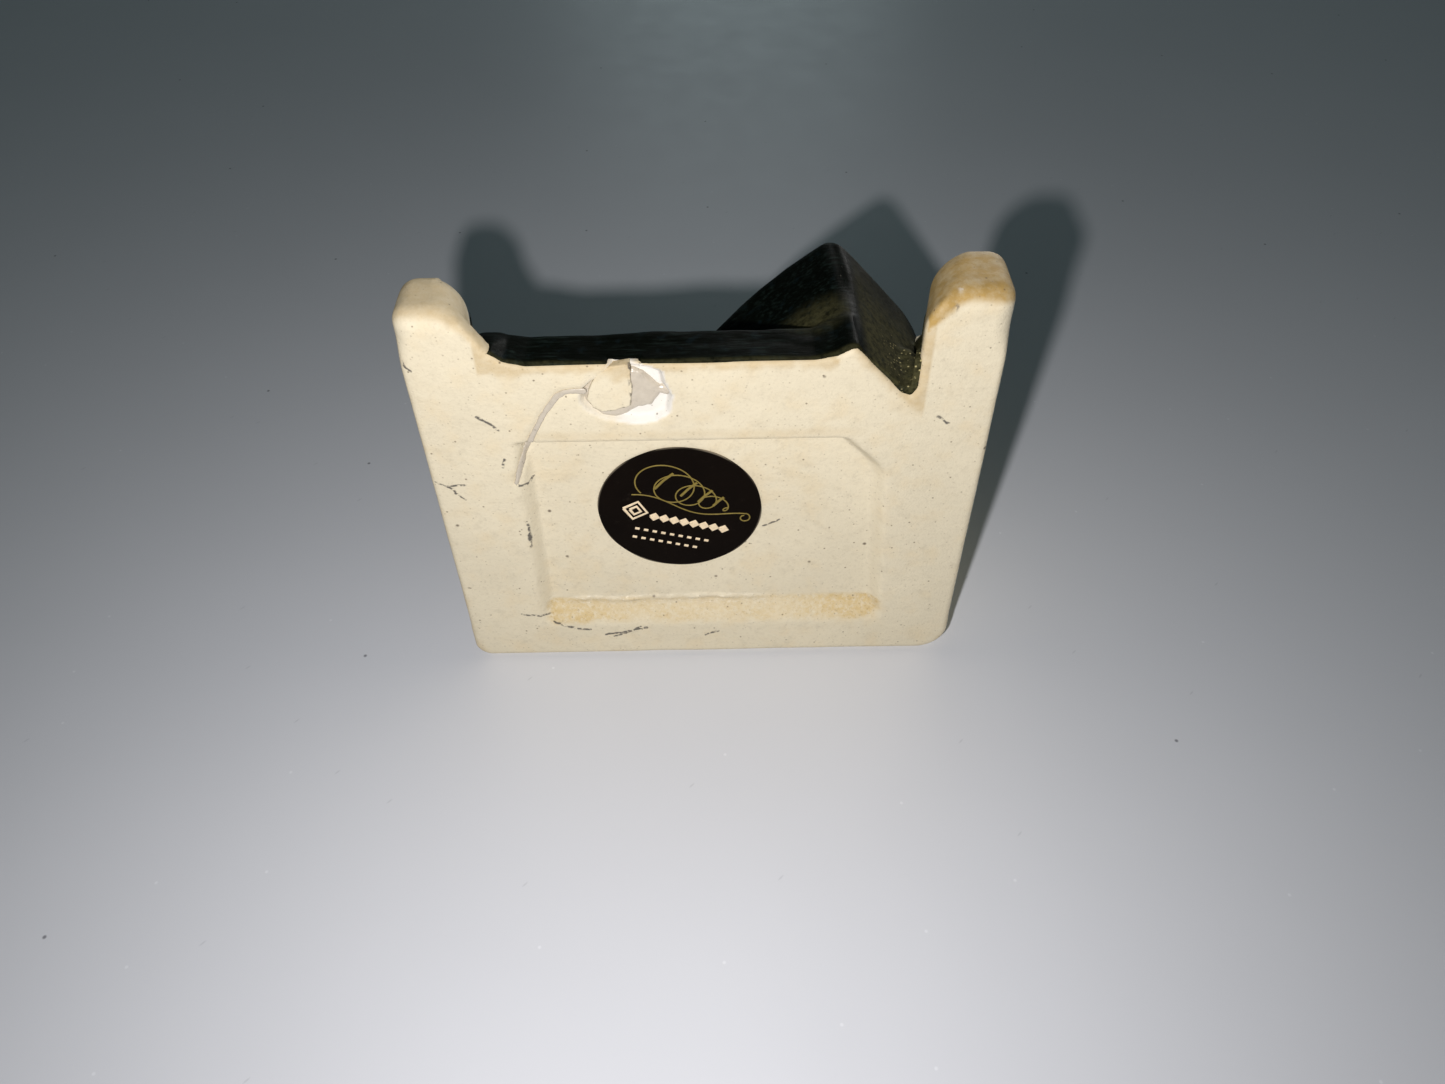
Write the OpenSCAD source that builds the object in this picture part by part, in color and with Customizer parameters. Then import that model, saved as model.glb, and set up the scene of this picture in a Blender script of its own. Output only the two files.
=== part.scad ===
// Ceramic cat figurine: a black cat lounging on a small cream sofa.
// +Z is up, -Y is the front, and the origin is under the middle of the sofa at its resting plane.
// Places along the depth are given as a distance forward of the sofa's flat back face.

/* [Sofa] */
// Width over the two arms
sofa_w = 82; // [76:0.5:90]
// Depth from the flat back to the front of the longer arm
sofa_d = 73.2; // [72:0.2:76]
// Thickness of the backrest slab
back_t = 8; // [6:0.5:9]
// Height of the backrest at its middle
back_h = 44; // [40:1:50]
// How far the top of the backrest falls from its middle to its ends
back_arch = 5; // [2:0.5:8]
// Radius of the upright back corners
back_corner_r = 4; // [2:0.5:6]

/* [Arms] */
// Width of each arm
arm_w = 10.5; // [9:0.5:11]
// Distance from the back to the front of the left arm
arm_left_d = 71.2; // [70:0.2:73]
// Height of the centre of the left arm's rounded nose
arm_left_nose_z = 5.8; // [5.4:0.1:8]
// Height of the centre of the right arm's rounded nose
arm_right_nose_z = 8.6; // [5.4:0.1:9]
// Height of the centre of the arm's rolled top behind its sweep
arm_roll_z = 24.5; // [22:0.5:27]

/* [Base] */
// Height of the deck that carries the seat cushion
deck_h = 8; // [7:0.5:9]
// Distance from the back to the front edge of the deck
deck_d = 56.2; // [55:0.2:57]
// Thickness of the lip in front of the deck
lip_t = 2.4; // [2:0.1:3]
// Distance from the back to the straight front edge of the lip
lip_d = 62.8; // [62:0.1:63.5]
// Depth of the recess in the underside
recess_depth = 2; // [1:0.1:3]

/* [Seat cushion] */
// Thickness of the seat cushion
cushion_t = 4; // [3:0.5:5]
// Distance from the back to the front of the seat cushion
cushion_d = 54.6; // [53:0.2:55]

/* [Cat] */
// Radius of the hips
hip_r = 12.2; // [11:0.2:13]
// Radius of the chest
chest_r = 11.5; // [10.5:0.2:12]
// Radius of the skull
skull_r = 10.5; // [9.5:0.2:11]
// Height of the tips of the ears
ear_tip_z = 59; // [57:0.5:61]
// Radius of each eye
eye_r = 1.9; // [1.5:0.1:2.2]
// Height of the tail where it lies along the front
tail_top_z = 7.9; // [7.4:0.1:8.4]
// Where the tail ends inside the hind leg, measured from the middle
tail_root_x = 18; // [15:0.5:20]

/* [Label and repair] */
// Radius of the round paper label in the recess
label_r = 12.7; // [10:0.1:13]
// Thickness of the paper label
label_t = 0.2; // [0.1:0.05:0.4]
// Depth of the chip in the underside that has been glued
chip_depth = 1.6; // [1:0.1:1.8]

/* [Hidden] */

cream = [0.87, 0.83, 0.74];
cushion_cream = [0.84, 0.79, 0.69];
cat_black = [0.07, 0.08, 0.075];
eye_green = [0.55, 0.62, 0.2];
nose_brown = [0.2, 0.12, 0.11];
label_black = [0.1, 0.08, 0.07];
glue_grey = [0.72, 0.7, 0.66];

eps = 0.02;
blob_fn = 32;
arm_r = arm_w / 2;
arm_x = sofa_w / 2 - arm_r;
inner_x = sofa_w / 2 - arm_w;
seat_z = deck_h + cushion_t;

// The right arm's inner front corner leaves a notch that ends in a point beside the hind paw.
notch_point = [20.4, 65.2];
notch_floor = [27.9, 57.2];

hip = [16, 28, 24.2];
chest = [-10, 28, 23.5];
skull = [-19, 25, 40];
muzzle = [-19.6, 35.2, 36.6];
eye_x = 4.4;
eye_d = 34.2;
eye_z = 42;

chip_centre = [-10.6, 58.3];
chip_r = 5.4;
chip_split_x = -9.5;
glue_sink = 0.6;
label_centre = [-4.3, 33.7];

// Frame Y of a point that lies d forward of the back face.
function from_back(d) = sofa_d / 2 - d;

// A point given as [x, distance forward of the back, z].
function place(p) = [p[0], from_back(p[1]), p[2]];

// A flat outline given as [x, distance forward of the back] pairs.
function outline(pts) = [for (p = pts) [p[0], from_back(p[1])]];

module ball(p, r) {
    translate(place(p)) sphere(r = r, $fn = blob_fn);
}

// One station of an arm: a ball for the rolled top over a square foot.
module arm_post(p) {
    ball(p, arm_r);
    translate([p[0], from_back(p[1]), 0])
        linear_extrude(height = 1) square(arm_w, center = true);
}

// The last station of an arm, flat against the backrest.
module arm_end(x) {
    translate([x, from_back(back_t), arm_roll_z])
        rotate([90, 0, 0]) cylinder(r = arm_r, h = 0.1, $fn = blob_fn);
    translate([x - arm_r, from_back(back_t) - 0.1, 0]) cube([arm_w, 0.1, 1]);
}

module arm_solid(x, front_d, nose_z) {
    nose = [x, front_d - arm_r, nose_z];
    knuckle = [x, 61, nose_z + 0.4];
    shoulder = [x, 43, arm_roll_z];
    hull() {
        arm_post(nose);
        arm_post(knuckle);
    }
    hull() {
        arm_post(knuckle);
        arm_post(shoulder);
    }
    hull() {
        arm_post(shoulder);
        arm_end(x);
    }
}

module arm_left_solid() {
    arm_solid(-arm_x, arm_left_d, arm_left_nose_z);
}

module arm_right_solid() {
    arm_solid(arm_x, sofa_d, arm_right_nose_z);
}

module footprint() {
    polygon(outline([
        [-inner_x, back_t], [inner_x, back_t], [inner_x, 56.8], notch_floor, notch_point,
        [18.4, 63.5], [15, lip_d], [-27, lip_d], [-29.3, 64.6], [-inner_x, 67.6]
    ]));
}

module recess_outline() {
    polygon(outline([
        [-24.5, 10], [25.5, 10], [28.5, 13], [28.5, 40], [18.4, 50], [-24.5, 50], [-27.5, 47], [-27.5, 13]
    ]));
}

// The broken patch at the front edge, an uneven round of short straight breaks.
module chip_outline() {
    intersection() {
        footprint();
        translate([chip_centre[0], from_back(chip_centre[1])]) circle(r = chip_r, $fn = 11);
    }
}

module base_solid() {
    difference() {
        union() {
            linear_extrude(height = lip_t) footprint();
            translate([-inner_x, from_back(deck_d), 0])
                cube([2 * inner_x, deck_d - back_t, deck_h]);
        }
        translate([0, 0, -1]) linear_extrude(height = recess_depth + 1) recess_outline();
        translate([0, 0, -1]) linear_extrude(height = chip_depth + 1) chip_outline();
    }
}

module cushion_solid() {
    corner = 3;
    translate([0, from_back((back_t + cushion_d) / 2), deck_h])
        linear_extrude(height = cushion_t)
            union() {
                square([2 * inner_x, cushion_d - back_t - 2 * corner], center = true);
                square([2 * (inner_x - corner), cushion_d - back_t], center = true);
                for (sx = [-1, 1], sy = [-1, 1])
                    translate([sx * (inner_x - corner), sy * ((cushion_d - back_t) / 2 - corner)])
                        circle(r = corner, $fn = 32);
            }
}

// Arched front outline of the backrest, from one bottom corner round to the other.
function arch(n) = [for (i = [0:n]) let (u = 2 * i / n - 1)
    [u * sofa_w / 2, back_h - back_arch * u * u - back_arch * pow(abs(u), 12)]];

module backrest_solid() {
    intersection() {
        translate([0, from_back(0), 0]) rotate([90, 0, 0])
            linear_extrude(height = back_t)
                polygon(concat([[-sofa_w / 2, 0]], arch(48), [[sofa_w / 2, 0]]));
        linear_extrude(height = back_h + 1)
            union() {
                translate([-sofa_w / 2, from_back(back_t) - eps])
                    square([sofa_w, back_t - back_corner_r + eps]);
                translate([-sofa_w / 2 + back_corner_r, from_back(back_corner_r) - eps])
                    square([sofa_w - 2 * back_corner_r, back_corner_r + eps]);
                for (s = [-1, 1])
                    translate([s * (sofa_w / 2 - back_corner_r), from_back(back_corner_r)])
                        circle(r = back_corner_r, $fn = 48);
            }
    }
}

module above_seat() {
    intersection() {
        children();
        translate([-sofa_w, -sofa_d, seat_z]) cube([2 * sofa_w, 2 * sofa_d, 100]);
    }
}

module torso_solid() {
    above_seat() hull() {
        ball(hip, hip_r);
        ball(chest, chest_r);
    }
}

module skull_solid() {
    hull() {
        ball(skull, skull_r);
        ball(muzzle, 4.4);
    }
}

module eye_solid(side) {
    ball([skull[0] + side * eye_x, eye_d, eye_z], eye_r);
}

module nose_solid() {
    ball([muzzle[0], muzzle[1] + 4, muzzle[2] + 1.6], 1.3);
}

module ear_solid(side) {
    difference() {
        hull() {
            ball([skull[0] + side * 8.4, 24, 44], 2.2);
            ball([skull[0] + side * 2.6, 24, 48], 2.2);
            ball([skull[0] + side * 8.2, 24.4, ear_tip_z - 0.9], 0.9);
        }
        skull_solid();
    }
}

module foreleg_solid(elbow, paw) {
    difference() {
        above_seat() hull() {
            ball(elbow, 4.6);
            ball(paw, 3.2);
        }
        torso_solid();
    }
}

// The tail lies along the front of the seat, from inside the hind leg to the left arm.
module tail_solid() {
    tail_r = (tail_top_z - lip_t) / 2;
    translate([-inner_x, from_back(lip_d - tail_r), lip_t + tail_r])
        rotate([90, 0, 90]) linear_extrude(height = inner_x + tail_root_x)
            union() {
                circle(r = tail_r, $fn = 48);
                translate([0, -tail_r]) square([lip_d - deck_d - tail_r, 2 * tail_r]);
                translate([-tail_r, -tail_r]) square([tail_r, tail_r]);
            }
}

// The bent hind leg: the knee stands over the paw, and the flanks fall back to the hip on both sides.
module hind_leg_solid() {
    difference() {
        hull() {
            ball([19.6, 61.9, 26], 3.8);
            ball([20.8, 62.9, 2.3], 2.2);
            ball([4.5, 51.4, 23.2], 3.2);
            ball([5, 51, 12], 3.2);
            ball([28.3, 54.6, 24], 3.4);
            ball([28, 54.4, 4], 2);
            ball([31.2, 50, 21.4], 3.2);
            ball([hip[0], hip[1] + 4, hip[2] + 1], 10.5);
        }
        torso_solid();
        base_solid();
        cushion_solid();
        arm_right_solid();
        tail_solid();
        translate([-sofa_w, -sofa_d, -sofa_d]) cube([2 * sofa_w, 2 * sofa_d, sofa_d + lip_t]);
    }
}

module base() {
    color(cream) base_solid();
}

module arm_left() {
    color(cream) arm_left_solid();
}

module arm_right() {
    color(cream) arm_right_solid();
}

module backrest() {
    color(cream) backrest_solid();
}

module seat_cushion() {
    color(cushion_cream) cushion_solid();
}

module cat_torso() {
    color(cat_black) torso_solid();
}

module cat_head() {
    color(cat_black) difference() {
        skull_solid();
        torso_solid();
        eye_solid(-1);
        eye_solid(1);
        nose_solid();
    }
}

module cat_ear_left() {
    color(cat_black) ear_solid(-1);
}

module cat_ear_right() {
    color(cat_black) ear_solid(1);
}

module cat_eye_left() {
    color(eye_green) eye_solid(-1);
}

module cat_eye_right() {
    color(eye_green) eye_solid(1);
}

module cat_nose() {
    color(nose_brown) nose_solid();
}

module cat_foreleg_left() {
    color(cat_black) foreleg_solid([-18, 36, 17], [-22, 50.6, 15.2]);
}

module cat_foreleg_right() {
    color(cat_black) foreleg_solid([-6, 37, 17], [-10, 50.2, 15.2]);
}

module cat_hind_leg() {
    color(cat_black) hind_leg_solid();
}

module cat_tail() {
    color(cat_black) tail_solid();
}

module chip_fragment() {
    color(cream) intersection() {
        linear_extrude(height = chip_depth) chip_outline();
        translate([chip_split_x - 20, -sofa_d / 2, 0]) cube([20, sofa_d, chip_depth]);
    }
}

module glue_fill() {
    color(glue_grey) intersection() {
        linear_extrude(height = chip_depth) chip_outline();
        translate([chip_split_x, -sofa_d / 2, glue_sink]) cube([20, sofa_d, chip_depth - glue_sink]);
    }
}

module paper_label() {
    color(label_black)
        translate([label_centre[0], from_back(label_centre[1]), recess_depth - label_t])
            cylinder(r = label_r, h = label_t, $fn = 96);
}

base();
arm_left();
arm_right();
backrest();
seat_cushion();
cat_torso();
cat_head();
cat_ear_left();
cat_ear_right();
cat_eye_left();
cat_eye_right();
cat_nose();
cat_foreleg_left();
cat_foreleg_right();
cat_hind_leg();
cat_tail();
chip_fragment();
glue_fill();
paper_label();
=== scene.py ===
"""Cat figurine: builds the looks of a small cream sofa with a black cat lounging on it.

Lengths inside the shaping functions are millimetres. A place is given as x, d and z, where d is
the distance forward of the sofa's flat back. Finished meshes are in metres, in the frame's axes.
"""

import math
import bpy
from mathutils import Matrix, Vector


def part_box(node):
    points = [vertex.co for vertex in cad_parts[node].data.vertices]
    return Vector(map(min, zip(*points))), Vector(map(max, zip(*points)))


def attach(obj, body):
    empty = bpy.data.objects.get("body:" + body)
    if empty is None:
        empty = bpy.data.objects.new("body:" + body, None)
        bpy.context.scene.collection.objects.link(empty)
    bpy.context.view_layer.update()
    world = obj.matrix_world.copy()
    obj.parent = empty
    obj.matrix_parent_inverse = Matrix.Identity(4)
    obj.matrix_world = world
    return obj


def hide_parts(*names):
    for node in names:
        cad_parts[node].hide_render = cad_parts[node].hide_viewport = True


bl_info = {
    "name": "Cat Figurine",
    "version": (1, 0, 0),
    "blender": (4, 5, 0),
    "location": "3D View > Sidebar > Figurine",
    "description": "Builds a cast and painted cat figurine round its packed frame",
    "category": "Object",
}

import bpy
import numpy as np
from bpy.props import FloatProperty, FloatVectorProperty, IntProperty, PointerProperty
from bpy.types import Operator, Panel, PropertyGroup
from mathutils import Vector

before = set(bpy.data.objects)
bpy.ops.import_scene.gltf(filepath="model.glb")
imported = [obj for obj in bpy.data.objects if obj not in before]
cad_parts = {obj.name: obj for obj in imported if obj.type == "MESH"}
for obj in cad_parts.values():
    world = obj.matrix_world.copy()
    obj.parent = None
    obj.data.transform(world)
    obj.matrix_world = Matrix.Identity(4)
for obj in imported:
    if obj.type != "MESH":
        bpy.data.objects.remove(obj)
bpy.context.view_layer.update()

MM = 0.001
BODY = "root"


def node_box(name):
    """Lowest and highest corner of a frame node, in millimetres."""
    low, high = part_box(name)
    return np.array(low) / MM, np.array(high) / MM


BACK_Y = node_box("backrest")[1][1]
HALF_W = node_box("backrest")[1][0]
BACK_T = BACK_Y - node_box("backrest")[0][1]
BACK_H = node_box("backrest")[1][2]
INNER_X = node_box("base")[1][0]
ARM_X = (HALF_W + INNER_X) / 2
ARM_HALF = (HALF_W - INNER_X) / 2
ARM_TOP_Z = node_box("arm_left")[1][2]
ARM_LEFT_D = BACK_Y - node_box("arm_left")[0][1]
ARM_RIGHT_D = BACK_Y - node_box("arm_right")[0][1]
DECK_H = node_box("base")[1][2]
SEAT_Z = node_box("seat_cushion")[1][2]
CUSHION_D = BACK_Y - node_box("seat_cushion")[0][1]
TAIL_TOP_Z = node_box("cat_tail")[1][2]
LABEL_LOW, LABEL_HIGH = node_box("paper_label")
EAR_TIP_Z = node_box("cat_ear_left")[1][2]
EYE_LEFT = sum(node_box("cat_eye_left")) / 2
EYE_RIGHT = sum(node_box("cat_eye_right")) / 2
NOSE = sum(node_box("cat_nose")) / 2

# The camera and the key light beside it, in millimetres and degrees.
CAMERA_PLACE = (1.06, -115.1, -117.5)
CAMERA_TURN = (133.56, 0.99, 0.40)
KEY_PLACE = Vector((-16.2, -103.6, -125.5))
KEY_AIM = Vector((4, 0, -6))

# The plain surfaces: metres they reach, and millimetres they stand off the figurine.
SURFACE_REACH = 1.4
WALL_GAP = 0.3
FLOOR_DROP = 0.05


# ---------------------------------------------------------------- settings


class SofaSettings(PropertyGroup):
    mesh_step: FloatProperty(
        name="Mesh step",
        description="Spacing of the casting's mesh",
        default=0.4 * MM,
        unit="LENGTH",
    )
    recess_depth: FloatProperty(
        name="Recess depth",
        description="Depth of the recess in the underside",
        default=LABEL_HIGH[2] * MM,
        unit="LENGTH",
    )
    edge_radius: FloatProperty(
        name="Edge radius",
        description="Radius of the worn lower edge",
        default=1.1 * MM,
        unit="LENGTH",
    )
    cream: FloatVectorProperty(
        name="Cream",
        description="Colour of the unglazed casting",
        default=(0.665, 0.590, 0.425),
        subtype="COLOR",
        size=3,
    )
    # Tan is also the colour of the painted shade along the recess rim and in the cushion crease.
    tan: FloatVectorProperty(
        name="Tan",
        description="Colour of the stain on the arm ends and edges",
        default=(0.30, 0.195, 0.062),
        subtype="COLOR",
        size=3,
    )
    plaster: FloatVectorProperty(
        name="Plaster",
        description="Colour of the freshly broken casting",
        default=(0.70, 0.67, 0.60),
        subtype="COLOR",
        size=3,
    )


class CatSettings(PropertyGroup):
    mesh_step: FloatProperty(
        name="Mesh step",
        description="Spacing of the cat's mesh",
        default=0.4 * MM,
        unit="LENGTH",
    )
    black: FloatVectorProperty(
        name="Black",
        description="Colour of the matt paint",
        default=(0.0013, 0.0020, 0.0011),
        subtype="COLOR",
        size=3,
    )
    # Partly painted sheen: this lighter colour along the brush streaks is partly the paint's drag and
    # partly painted sheen.
    sheen: FloatVectorProperty(
        name="Brushed sheen",
        description="Blue green grey left by the brush",
        default=(0.011, 0.018, 0.015),
        subtype="COLOR",
        size=3,
    )
    # This olive also paints a light patch at the foot of the ridge, partly dust and partly painted
    # light.
    dust_and_light: FloatVectorProperty(
        name="Dust",
        description="Olive dust caught beside the arm",
        default=(0.065, 0.060, 0.026),
        subtype="COLOR",
        size=3,
    )
    eye: FloatVectorProperty(
        name="Eye",
        description="Colour of the eye enamel",
        default=(0.42, 0.46, 0.05),
        subtype="COLOR",
        size=3,
    )


class LabelSettings(PropertyGroup):
    black: FloatVectorProperty(
        name="Label black",
        description="Printed black of the paper label",
        default=(0.0030, 0.0016, 0.0008),
        subtype="COLOR",
        size=3,
    )
    gold: FloatVectorProperty(
        name="Label gold",
        description="Gold ink of the ornament",
        default=(0.24, 0.175, 0.03),
        subtype="COLOR",
        size=3,
    )
    ivory: FloatVectorProperty(
        name="Label ivory",
        description="Ivory ink of the border",
        default=(0.78, 0.62, 0.40),
        subtype="COLOR",
        size=3,
    )


class StageSettings(PropertyGroup):
    lens: FloatProperty(
        name="Lens",
        description="Focal length of the camera",
        default=27.03,
        subtype="NONE",
    )
    floor: FloatVectorProperty(
        name="Floor",
        description="Colour of the plain surface",
        default=(0.60, 0.61, 0.63),
        subtype="COLOR",
        size=3,
    )
    key_power: FloatProperty(
        name="Key light",
        description="Power of the light beside the camera",
        default=0.33,
        unit="POWER",
    )
    top_power: FloatProperty(
        name="Room lights",
        description="Power of each of the two large lights in front of and behind the figurine",
        default=2.1,
        unit="POWER",
    )
    ceiling_power: FloatProperty(
        name="Ceiling light",
        description="Power of the light high over the figurine, which also reaches the surface behind",
        default=0.14,
        unit="POWER",
    )
    room: FloatProperty(
        name="Room glow",
        description="Strength of the even light from all sides",
        default=0.064,
    )
    seed: IntProperty(
        name="Seed",
        description="Seed of the lumps and specks",
        default=7,
    )


class FigurineSettings(PropertyGroup):
    sofa: PointerProperty(type=SofaSettings)
    cat: PointerProperty(type=CatSettings)
    label: PointerProperty(type=LabelSettings)
    stage: PointerProperty(type=StageSettings)


def settings():
    return bpy.context.scene.figurine


# ---------------------------------------------------------------- shaping


def round_cut(a, b, r):
    """The part of solid a that is inside b, with the new edge rounded to r."""
    u = np.maximum(a + r, 0)
    v = np.maximum(b + r, 0)
    return np.minimum(np.maximum(a, b), -r) + np.hypot(u, v)


def round_join(a, b, r):
    """Solids a and b together, with a fillet of radius r between them."""
    u = np.maximum(r - a, 0)
    v = np.maximum(r - b, 0)
    return np.maximum(np.minimum(a, b), r) - np.hypot(u, v)


def melt(a, b, k):
    """Solids a and b run together like soft clay over a width k."""
    h = np.clip(0.5 + 0.5 * (b - a) / k, 0, 1)
    return b + (a - b) * h - k * h * (1 - h)


def smooth(t):
    """Ease from 0 to 1."""
    t = np.clip(t, 0, 1)
    return t * t * (3 - 2 * t)


def blob(x, d, z, centre, radii):
    """An ellipsoid."""
    px = (x - centre[0]) / radii[0]
    pd = (d - centre[1]) / radii[1]
    pz = (z - centre[2]) / radii[2]
    k = np.sqrt(px * px + pd * pd + pz * pz)
    return (k - 1) * min(radii)


def limb(x, d, z, start, end, r0, r1):
    """A round limb that tapers from radius r0 at start to r1 at end."""
    s = np.array(start, float)
    e = np.array(end, float) - s
    t = ((x - s[0]) * e[0] + (d - s[1]) * e[1] + (z - s[2]) * e[2]) / (e @ e)
    t = np.clip(t, 0, 1)
    gap = np.sqrt((x - s[0] - e[0] * t) ** 2 + (d - s[1] - e[1] * t) ** 2 + (z - s[2] - e[2] * t) ** 2)
    return gap - (r0 + (r1 - r0) * t)


def outline_gap(px, py, points):
    """Distance in the plane to a closed outline, negative inside."""
    px, py = np.broadcast_arrays(px, py)
    best = np.full(px.shape, 1e9)
    inside = np.zeros(px.shape, bool)
    for (ax, ay), (bx, by) in zip(points, points[1:] + points[:1]):
        ex = bx - ax
        ey = by - ay
        wx = px - ax
        wy = py - ay
        t = np.clip((wx * ex + wy * ey) / (ex * ex + ey * ey), 0, 1)
        best = np.minimum(best, (wx - ex * t) ** 2 + (wy - ey * t) ** 2)
        if ey != 0:
            inside ^= ((ay > py) != (by > py)) & (px < ex * (py - ay) / ey + ax)
    gap = np.sqrt(best)
    return np.where(inside, -gap, gap)


def stroke_gap(px, py, points):
    """Distance in the plane to an open line of points."""
    best = 1e9
    for (ax, ay), (bx, by) in zip(points, points[1:]):
        ex = bx - ax
        ey = by - ay
        t = np.clip(((px - ax) * ex + (py - ay) * ey) / (ex * ex + ey * ey), 0, 1)
        best = np.minimum(best, np.hypot(px - ax - ex * t, py - ay - ey * t))
    return best


def slab(across, flat, r):
    """Solid from its distance across and its flat outline, with all edges rounded to r."""
    a = across + r
    b = flat + r
    return np.minimum(np.maximum(a, b), 0) + np.hypot(np.maximum(a, 0), np.maximum(b, 0)) - r


def lattice(i, j, k, seed):
    """Repeatable value from 0 to 1 for each whole-number place."""
    h = (i * 374761393 + j * 668265263 + k * 2147483647 + seed * 1274126177) & 0xFFFFFFFF
    h = ((h ^ (h >> 13)) * 1274126177) & 0xFFFFFFFF
    return ((h ^ (h >> 16)) & 0xFFFF) / 65535.0


def lumps(x, d, z, size, seed=0):
    """Smooth random lumps from -1 to 1, about size across."""
    x, d, z = np.broadcast_arrays(x, d, z)
    seed += settings().stage.seed
    total = 0
    whole = [np.floor(v / size).astype(np.int64) for v in (x, d, z)]
    part = [smooth(v / size - w) for v, w in zip((x, d, z), whole)]
    for corner in range(8):
        offset = [(corner >> axis) & 1 for axis in range(3)]
        weight = 1
        for p, o in zip(part, offset):
            weight = weight * (p if o else 1 - p)
        value = lattice(whole[0] + offset[0], whole[1] + offset[1], whole[2] + offset[2], seed)
        total = total + weight * value
    return 2 * total - 1


# ---------------------------------------------------------------- meshing


def net(field, low, step):
    """Points and four-sided faces where a sampled field crosses zero."""
    inside = field < 0
    cells = np.array(field.shape) - 1
    count = np.zeros(cells, np.int8)
    for i, j, k in np.ndindex(2, 2, 2):
        count += inside[i:i + cells[0], j:j + cells[1], k:k + cells[2]]
    mixed = (count > 0) & (count < 8)
    at = np.argwhere(mixed)
    index = np.full(cells, -1, np.int64)
    index[mixed] = np.arange(len(at))
    total = np.zeros((len(at), 3))
    hits = np.zeros(len(at))
    unit = np.eye(3, dtype=int)
    for axis in range(3):
        for i, j in np.ndindex(2, 2):
            start = unit[(axis + 1) % 3] * i + unit[(axis + 2) % 3] * j
            a = at + start
            b = a + unit[axis]
            fa = field[a[:, 0], a[:, 1], a[:, 2]]
            fb = field[b[:, 0], b[:, 1], b[:, 2]]
            cross = (fa < 0) != (fb < 0)
            t = np.where(cross, fa / np.where(cross, fa - fb, 1), 0)
            total += np.where(cross[:, None], start + unit[axis] * t[:, None], 0)
            hits += cross
    points = np.array(low) + (at + total / hits[:, None]) * step
    faces = []
    for axis in range(3):
        u = unit[(axis + 1) % 3]
        v = unit[(axis + 2) % 3]
        inner = [slice(1, -1)] * 3
        inner[axis] = slice(0, -1)
        ahead = [slice(1, -1)] * 3
        ahead[axis] = slice(1, None)
        here = inside[tuple(inner)]
        there = inside[tuple(ahead)]
        base = np.ones(3, int)
        base[axis] = 0
        for flip in (False, True):
            edge = np.argwhere((here & ~there) if not flip else (~here & there)) + base
            ring = [edge - u - v, edge - v, edge, edge - u]
            quad = np.stack([index[r[:, 0], r[:, 1], r[:, 2]] for r in ring], axis=1)
            faces.append(quad[:, ::-1] if flip else quad)
    return points, np.concatenate(faces)


def settle(shape, points, rounds=3):
    """Moves points onto the surface of a shape, along its slope."""
    reach = 0.02
    for _ in range(rounds):
        x, d, z = points.T
        value = shape(x, d, z)
        slope = np.stack([
            shape(x + reach, d, z) - shape(x - reach, d, z),
            shape(x, d + reach, z) - shape(x, d - reach, z),
            shape(x, d, z + reach) - shape(x, d, z - reach),
        ], axis=1) / (2 * reach)
        size = np.maximum((slope ** 2).sum(1), 0.2)
        move = np.clip(value / size, -0.3, 0.3)
        points = points - slope * move[:, None]
    return points


def sculpt(name, shape, low, high, step):
    """Mesh object of a shape function within a box, all in x, d, z millimetres."""
    axes = [np.arange(a - 2 * step, b + 3 * step, step) for a, b in zip(low, high)]
    x = axes[0][:, None, None]
    d = axes[1][None, :, None]
    z = axes[2][None, None, :]
    field = np.broadcast_to(shape(x, d, z), [len(a) for a in axes])
    points, faces = net(field, [a[0] for a in axes], step)
    if not len(faces):
        raise RuntimeError(f"{name} came out empty")
    points = settle(shape, points)
    piece = mesh_object(name, points, faces[:, ::-1])
    return piece, points


def mesh_object(name, points, faces):
    """Smooth shaded mesh object from x, d, z millimetres."""
    where = np.empty_like(points)
    where[:, 0] = points[:, 0] * MM
    where[:, 1] = (BACK_Y - points[:, 1]) * MM
    where[:, 2] = points[:, 2] * MM
    mesh = bpy.data.meshes.new(name)
    mesh.from_pydata(where.tolist(), [], [list(face) for face in faces])
    mesh.validate()
    mesh.shade_smooth()
    mesh.update()
    piece = bpy.data.objects.new(name, mesh)
    bpy.context.scene.collection.objects.link(piece)
    return piece


def paint_mask(piece, name, values):
    """Stores one number from 0 to 1 on each point of a piece, for its material."""
    layer = piece.data.attributes.new(name, "FLOAT", "POINT")
    layer.data.foreach_set("value", np.clip(values, 0, 1).astype(np.float32))


def finish_piece(piece, material, slot, *nodes):
    """Gives a piece its material and its body, and hides the frame nodes that it stands for. The slot
    is not used.
    """
    piece.data.materials.append(material)
    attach(piece, BODY)
    if nodes:
        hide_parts(*nodes)
    bpy.data.collections["lit_from_above"].objects.link(piece)
    return piece


# ---------------------------------------------------------------- materials


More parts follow.
